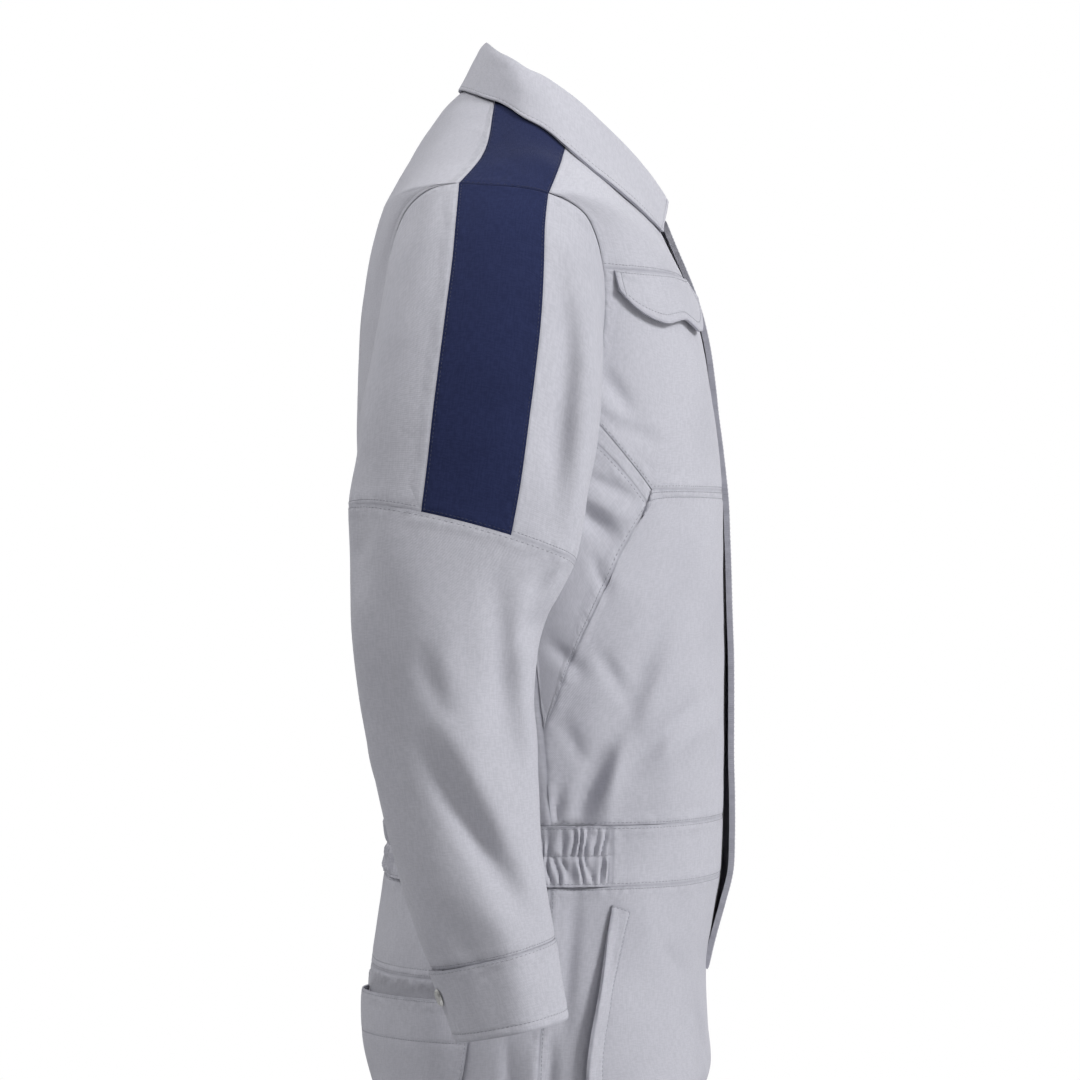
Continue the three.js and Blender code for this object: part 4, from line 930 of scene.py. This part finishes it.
def add_cloth(name):
    kind, side = kind_of(name)
    cloth = Cloth(
        name,
        kind.get("spacing", SPACING / MM) * MM,
        kind["spacing_up"] * MM if "spacing_up" in kind else None,
        kind.get("corners", True),
        kind["lines"],
    )
    cloth.close_seams()
    if name == "waistband_elastic":
        cloth.iron()
    else:
        cloth.move_by(folded(cloth))
    cloth.raise_by(puffs(cloth) if name == "waistband_elastic" else relief(cloth))
    if name.startswith("hip_welt"):
        cloth.raise_by(raised_edge(cloth))
    if name == "front_placket":
        cloth.raise_by((DOUBLE_CLOTH - CAD_CLOTH) * eased(cloth.points[..., 0], -0.02, 0.02))
    navy = kind.get("navy", False)
    slot = "navy_twill" if navy else "grey_twill"
    piece = shell(cloth, NAVY if navy else GREY, kind.get("wall", WALL / MM) * MM, kind.get("hem", 0) * MM)
    stitches = sew(cloth, kind["lines"], NAVY_THREAD if navy else GREY_THREAD, slot)
    return cloth


NOT_CLOTH = ("zip_tape", "zip_slider", "cuff_snap_right", "cuff_snap_left")
sewn = {name: add_cloth(name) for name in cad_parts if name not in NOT_CLOTH}


# Zip, slider and snaps

def add_zip():
    tape = Cloth("zip_tape", 2.5 * MM)
    shell(tape, TAPE, 1 * MM)
    tooth = template_of(bpy.ops.mesh.primitive_cube_add, size=2)
    v = np.arange(ZIP_END, tape.height - ZIP_END, TOOTH_PITCH)
    side = np.where(np.arange(len(v)) % 2, 1.0, -1.0)
    u = tape.width / 2 + side * TOOTH_ASIDE
    normals = tape.at(u, v, tape.normals)
    centres = tape.at(u, v, tape.points) + normals * TOOTH_LIFT
    along = np.gradient(tape.at(np.full(len(v), tape.width / 2), v, tape.points), axis=0)
    copies("zip_teeth", tooth, centres, along, normals, TOOTH_SIZE, METAL, "metal")


add_zip()
for name in ("zip_slider", "cuff_snap_right", "cuff_snap_left"):
    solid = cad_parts[name]
    solid.data.materials.clear()
    solid.data.materials.append(METAL)


# Camera, floor and light

FLOOR_SIZE = 14
FLOOR_HEIGHT = -1.56
AMBIENT = 0.22
FLOOR_GLOW = 0.62
CAMERA_DISTANCE = 3.6
CAMERA_HEIGHT = -0.318
PICTURE_WIDTH = 0.8046
SENSOR = 36


def add_camera():
    camera = bpy.data.objects.new("camera", bpy.data.cameras.new("camera"))
    bpy.context.scene.collection.objects.link(camera)
    camera.location = (-CAMERA_DISTANCE, 0, CAMERA_HEIGHT)
    camera.rotation_euler = (math.pi / 2, 0, -math.pi / 2)
    camera.data.sensor_width = SENSOR
    camera.data.lens = SENSOR * CAMERA_DISTANCE / PICTURE_WIDTH
    bpy.context.scene.camera = camera


def add_light(name, place, target, size, power):
    light = bpy.data.objects.new(name, bpy.data.lights.new(name, "AREA"))
    bpy.context.scene.collection.objects.link(light)
    light.location = place
    light.rotation_euler = (Vector(target) - Vector(place)).to_track_quat("-Z", "Y").to_euler()
    light.data.size = size
    light.data.energy = power


def add_room():
    bpy.ops.mesh.primitive_plane_add(size=FLOOR_SIZE, location=(0, 0, FLOOR_HEIGHT))
    floor = bpy.context.object
    floor.name = "floor"
    material, tree, shader = new_material("pale floor")
    shader.inputs["Base Color"].default_value = linear(236, 236, 238)
    shader.inputs["Roughness"].default_value = 0.8
    shader.inputs["Emission Color"].default_value = (1, 1, 1, 1)
    seen = node(tree, "LightPath").outputs["Is Camera Ray"]
    tree.links.new(ranged(tree, seen, 0.0, 1.0, 0.0, FLOOR_GLOW), shader.inputs["Emission Strength"])
    floor.data.materials.append(material)
    world = bpy.data.worlds.new("studio")
    bpy.context.scene.world = world
    world.use_nodes = True
    tree = world.node_tree
    background = tree.nodes["Background"]
    seen = node(tree, "LightPath").outputs["Is Camera Ray"]
    tree.links.new(ranged(tree, seen, 0.0, 1.0, AMBIENT, 1.0), background.inputs["Strength"])
    background.inputs["Color"].default_value = (1, 1, 1, 1)
    bpy.context.scene.view_settings.view_transform = "Standard"


add_camera()
add_room()
add_light("key", (-1.5, -2.5, 1.4), (0, 0, -0.35), 0.9, 86)
add_light("top", (-0.5, 1.3, 2.0), (0, 0, -0.1), 1.3, 42)
add_light("high side", (-2.6, -1.2, 1.7), (0, 0, -0.2), 1.2, 12)
add_light("front fill", (-0.2, -3.4, -0.4), (0, 0, -0.6), 1.6, 12)
add_light("far side", (2.8, -1.2, 0.8), (0, 0, -0.4), 1.8, 24)
add_light("rear fill", (1.6, 3.0, 0.6), (0, 0, -0.7), 2.0, 10)
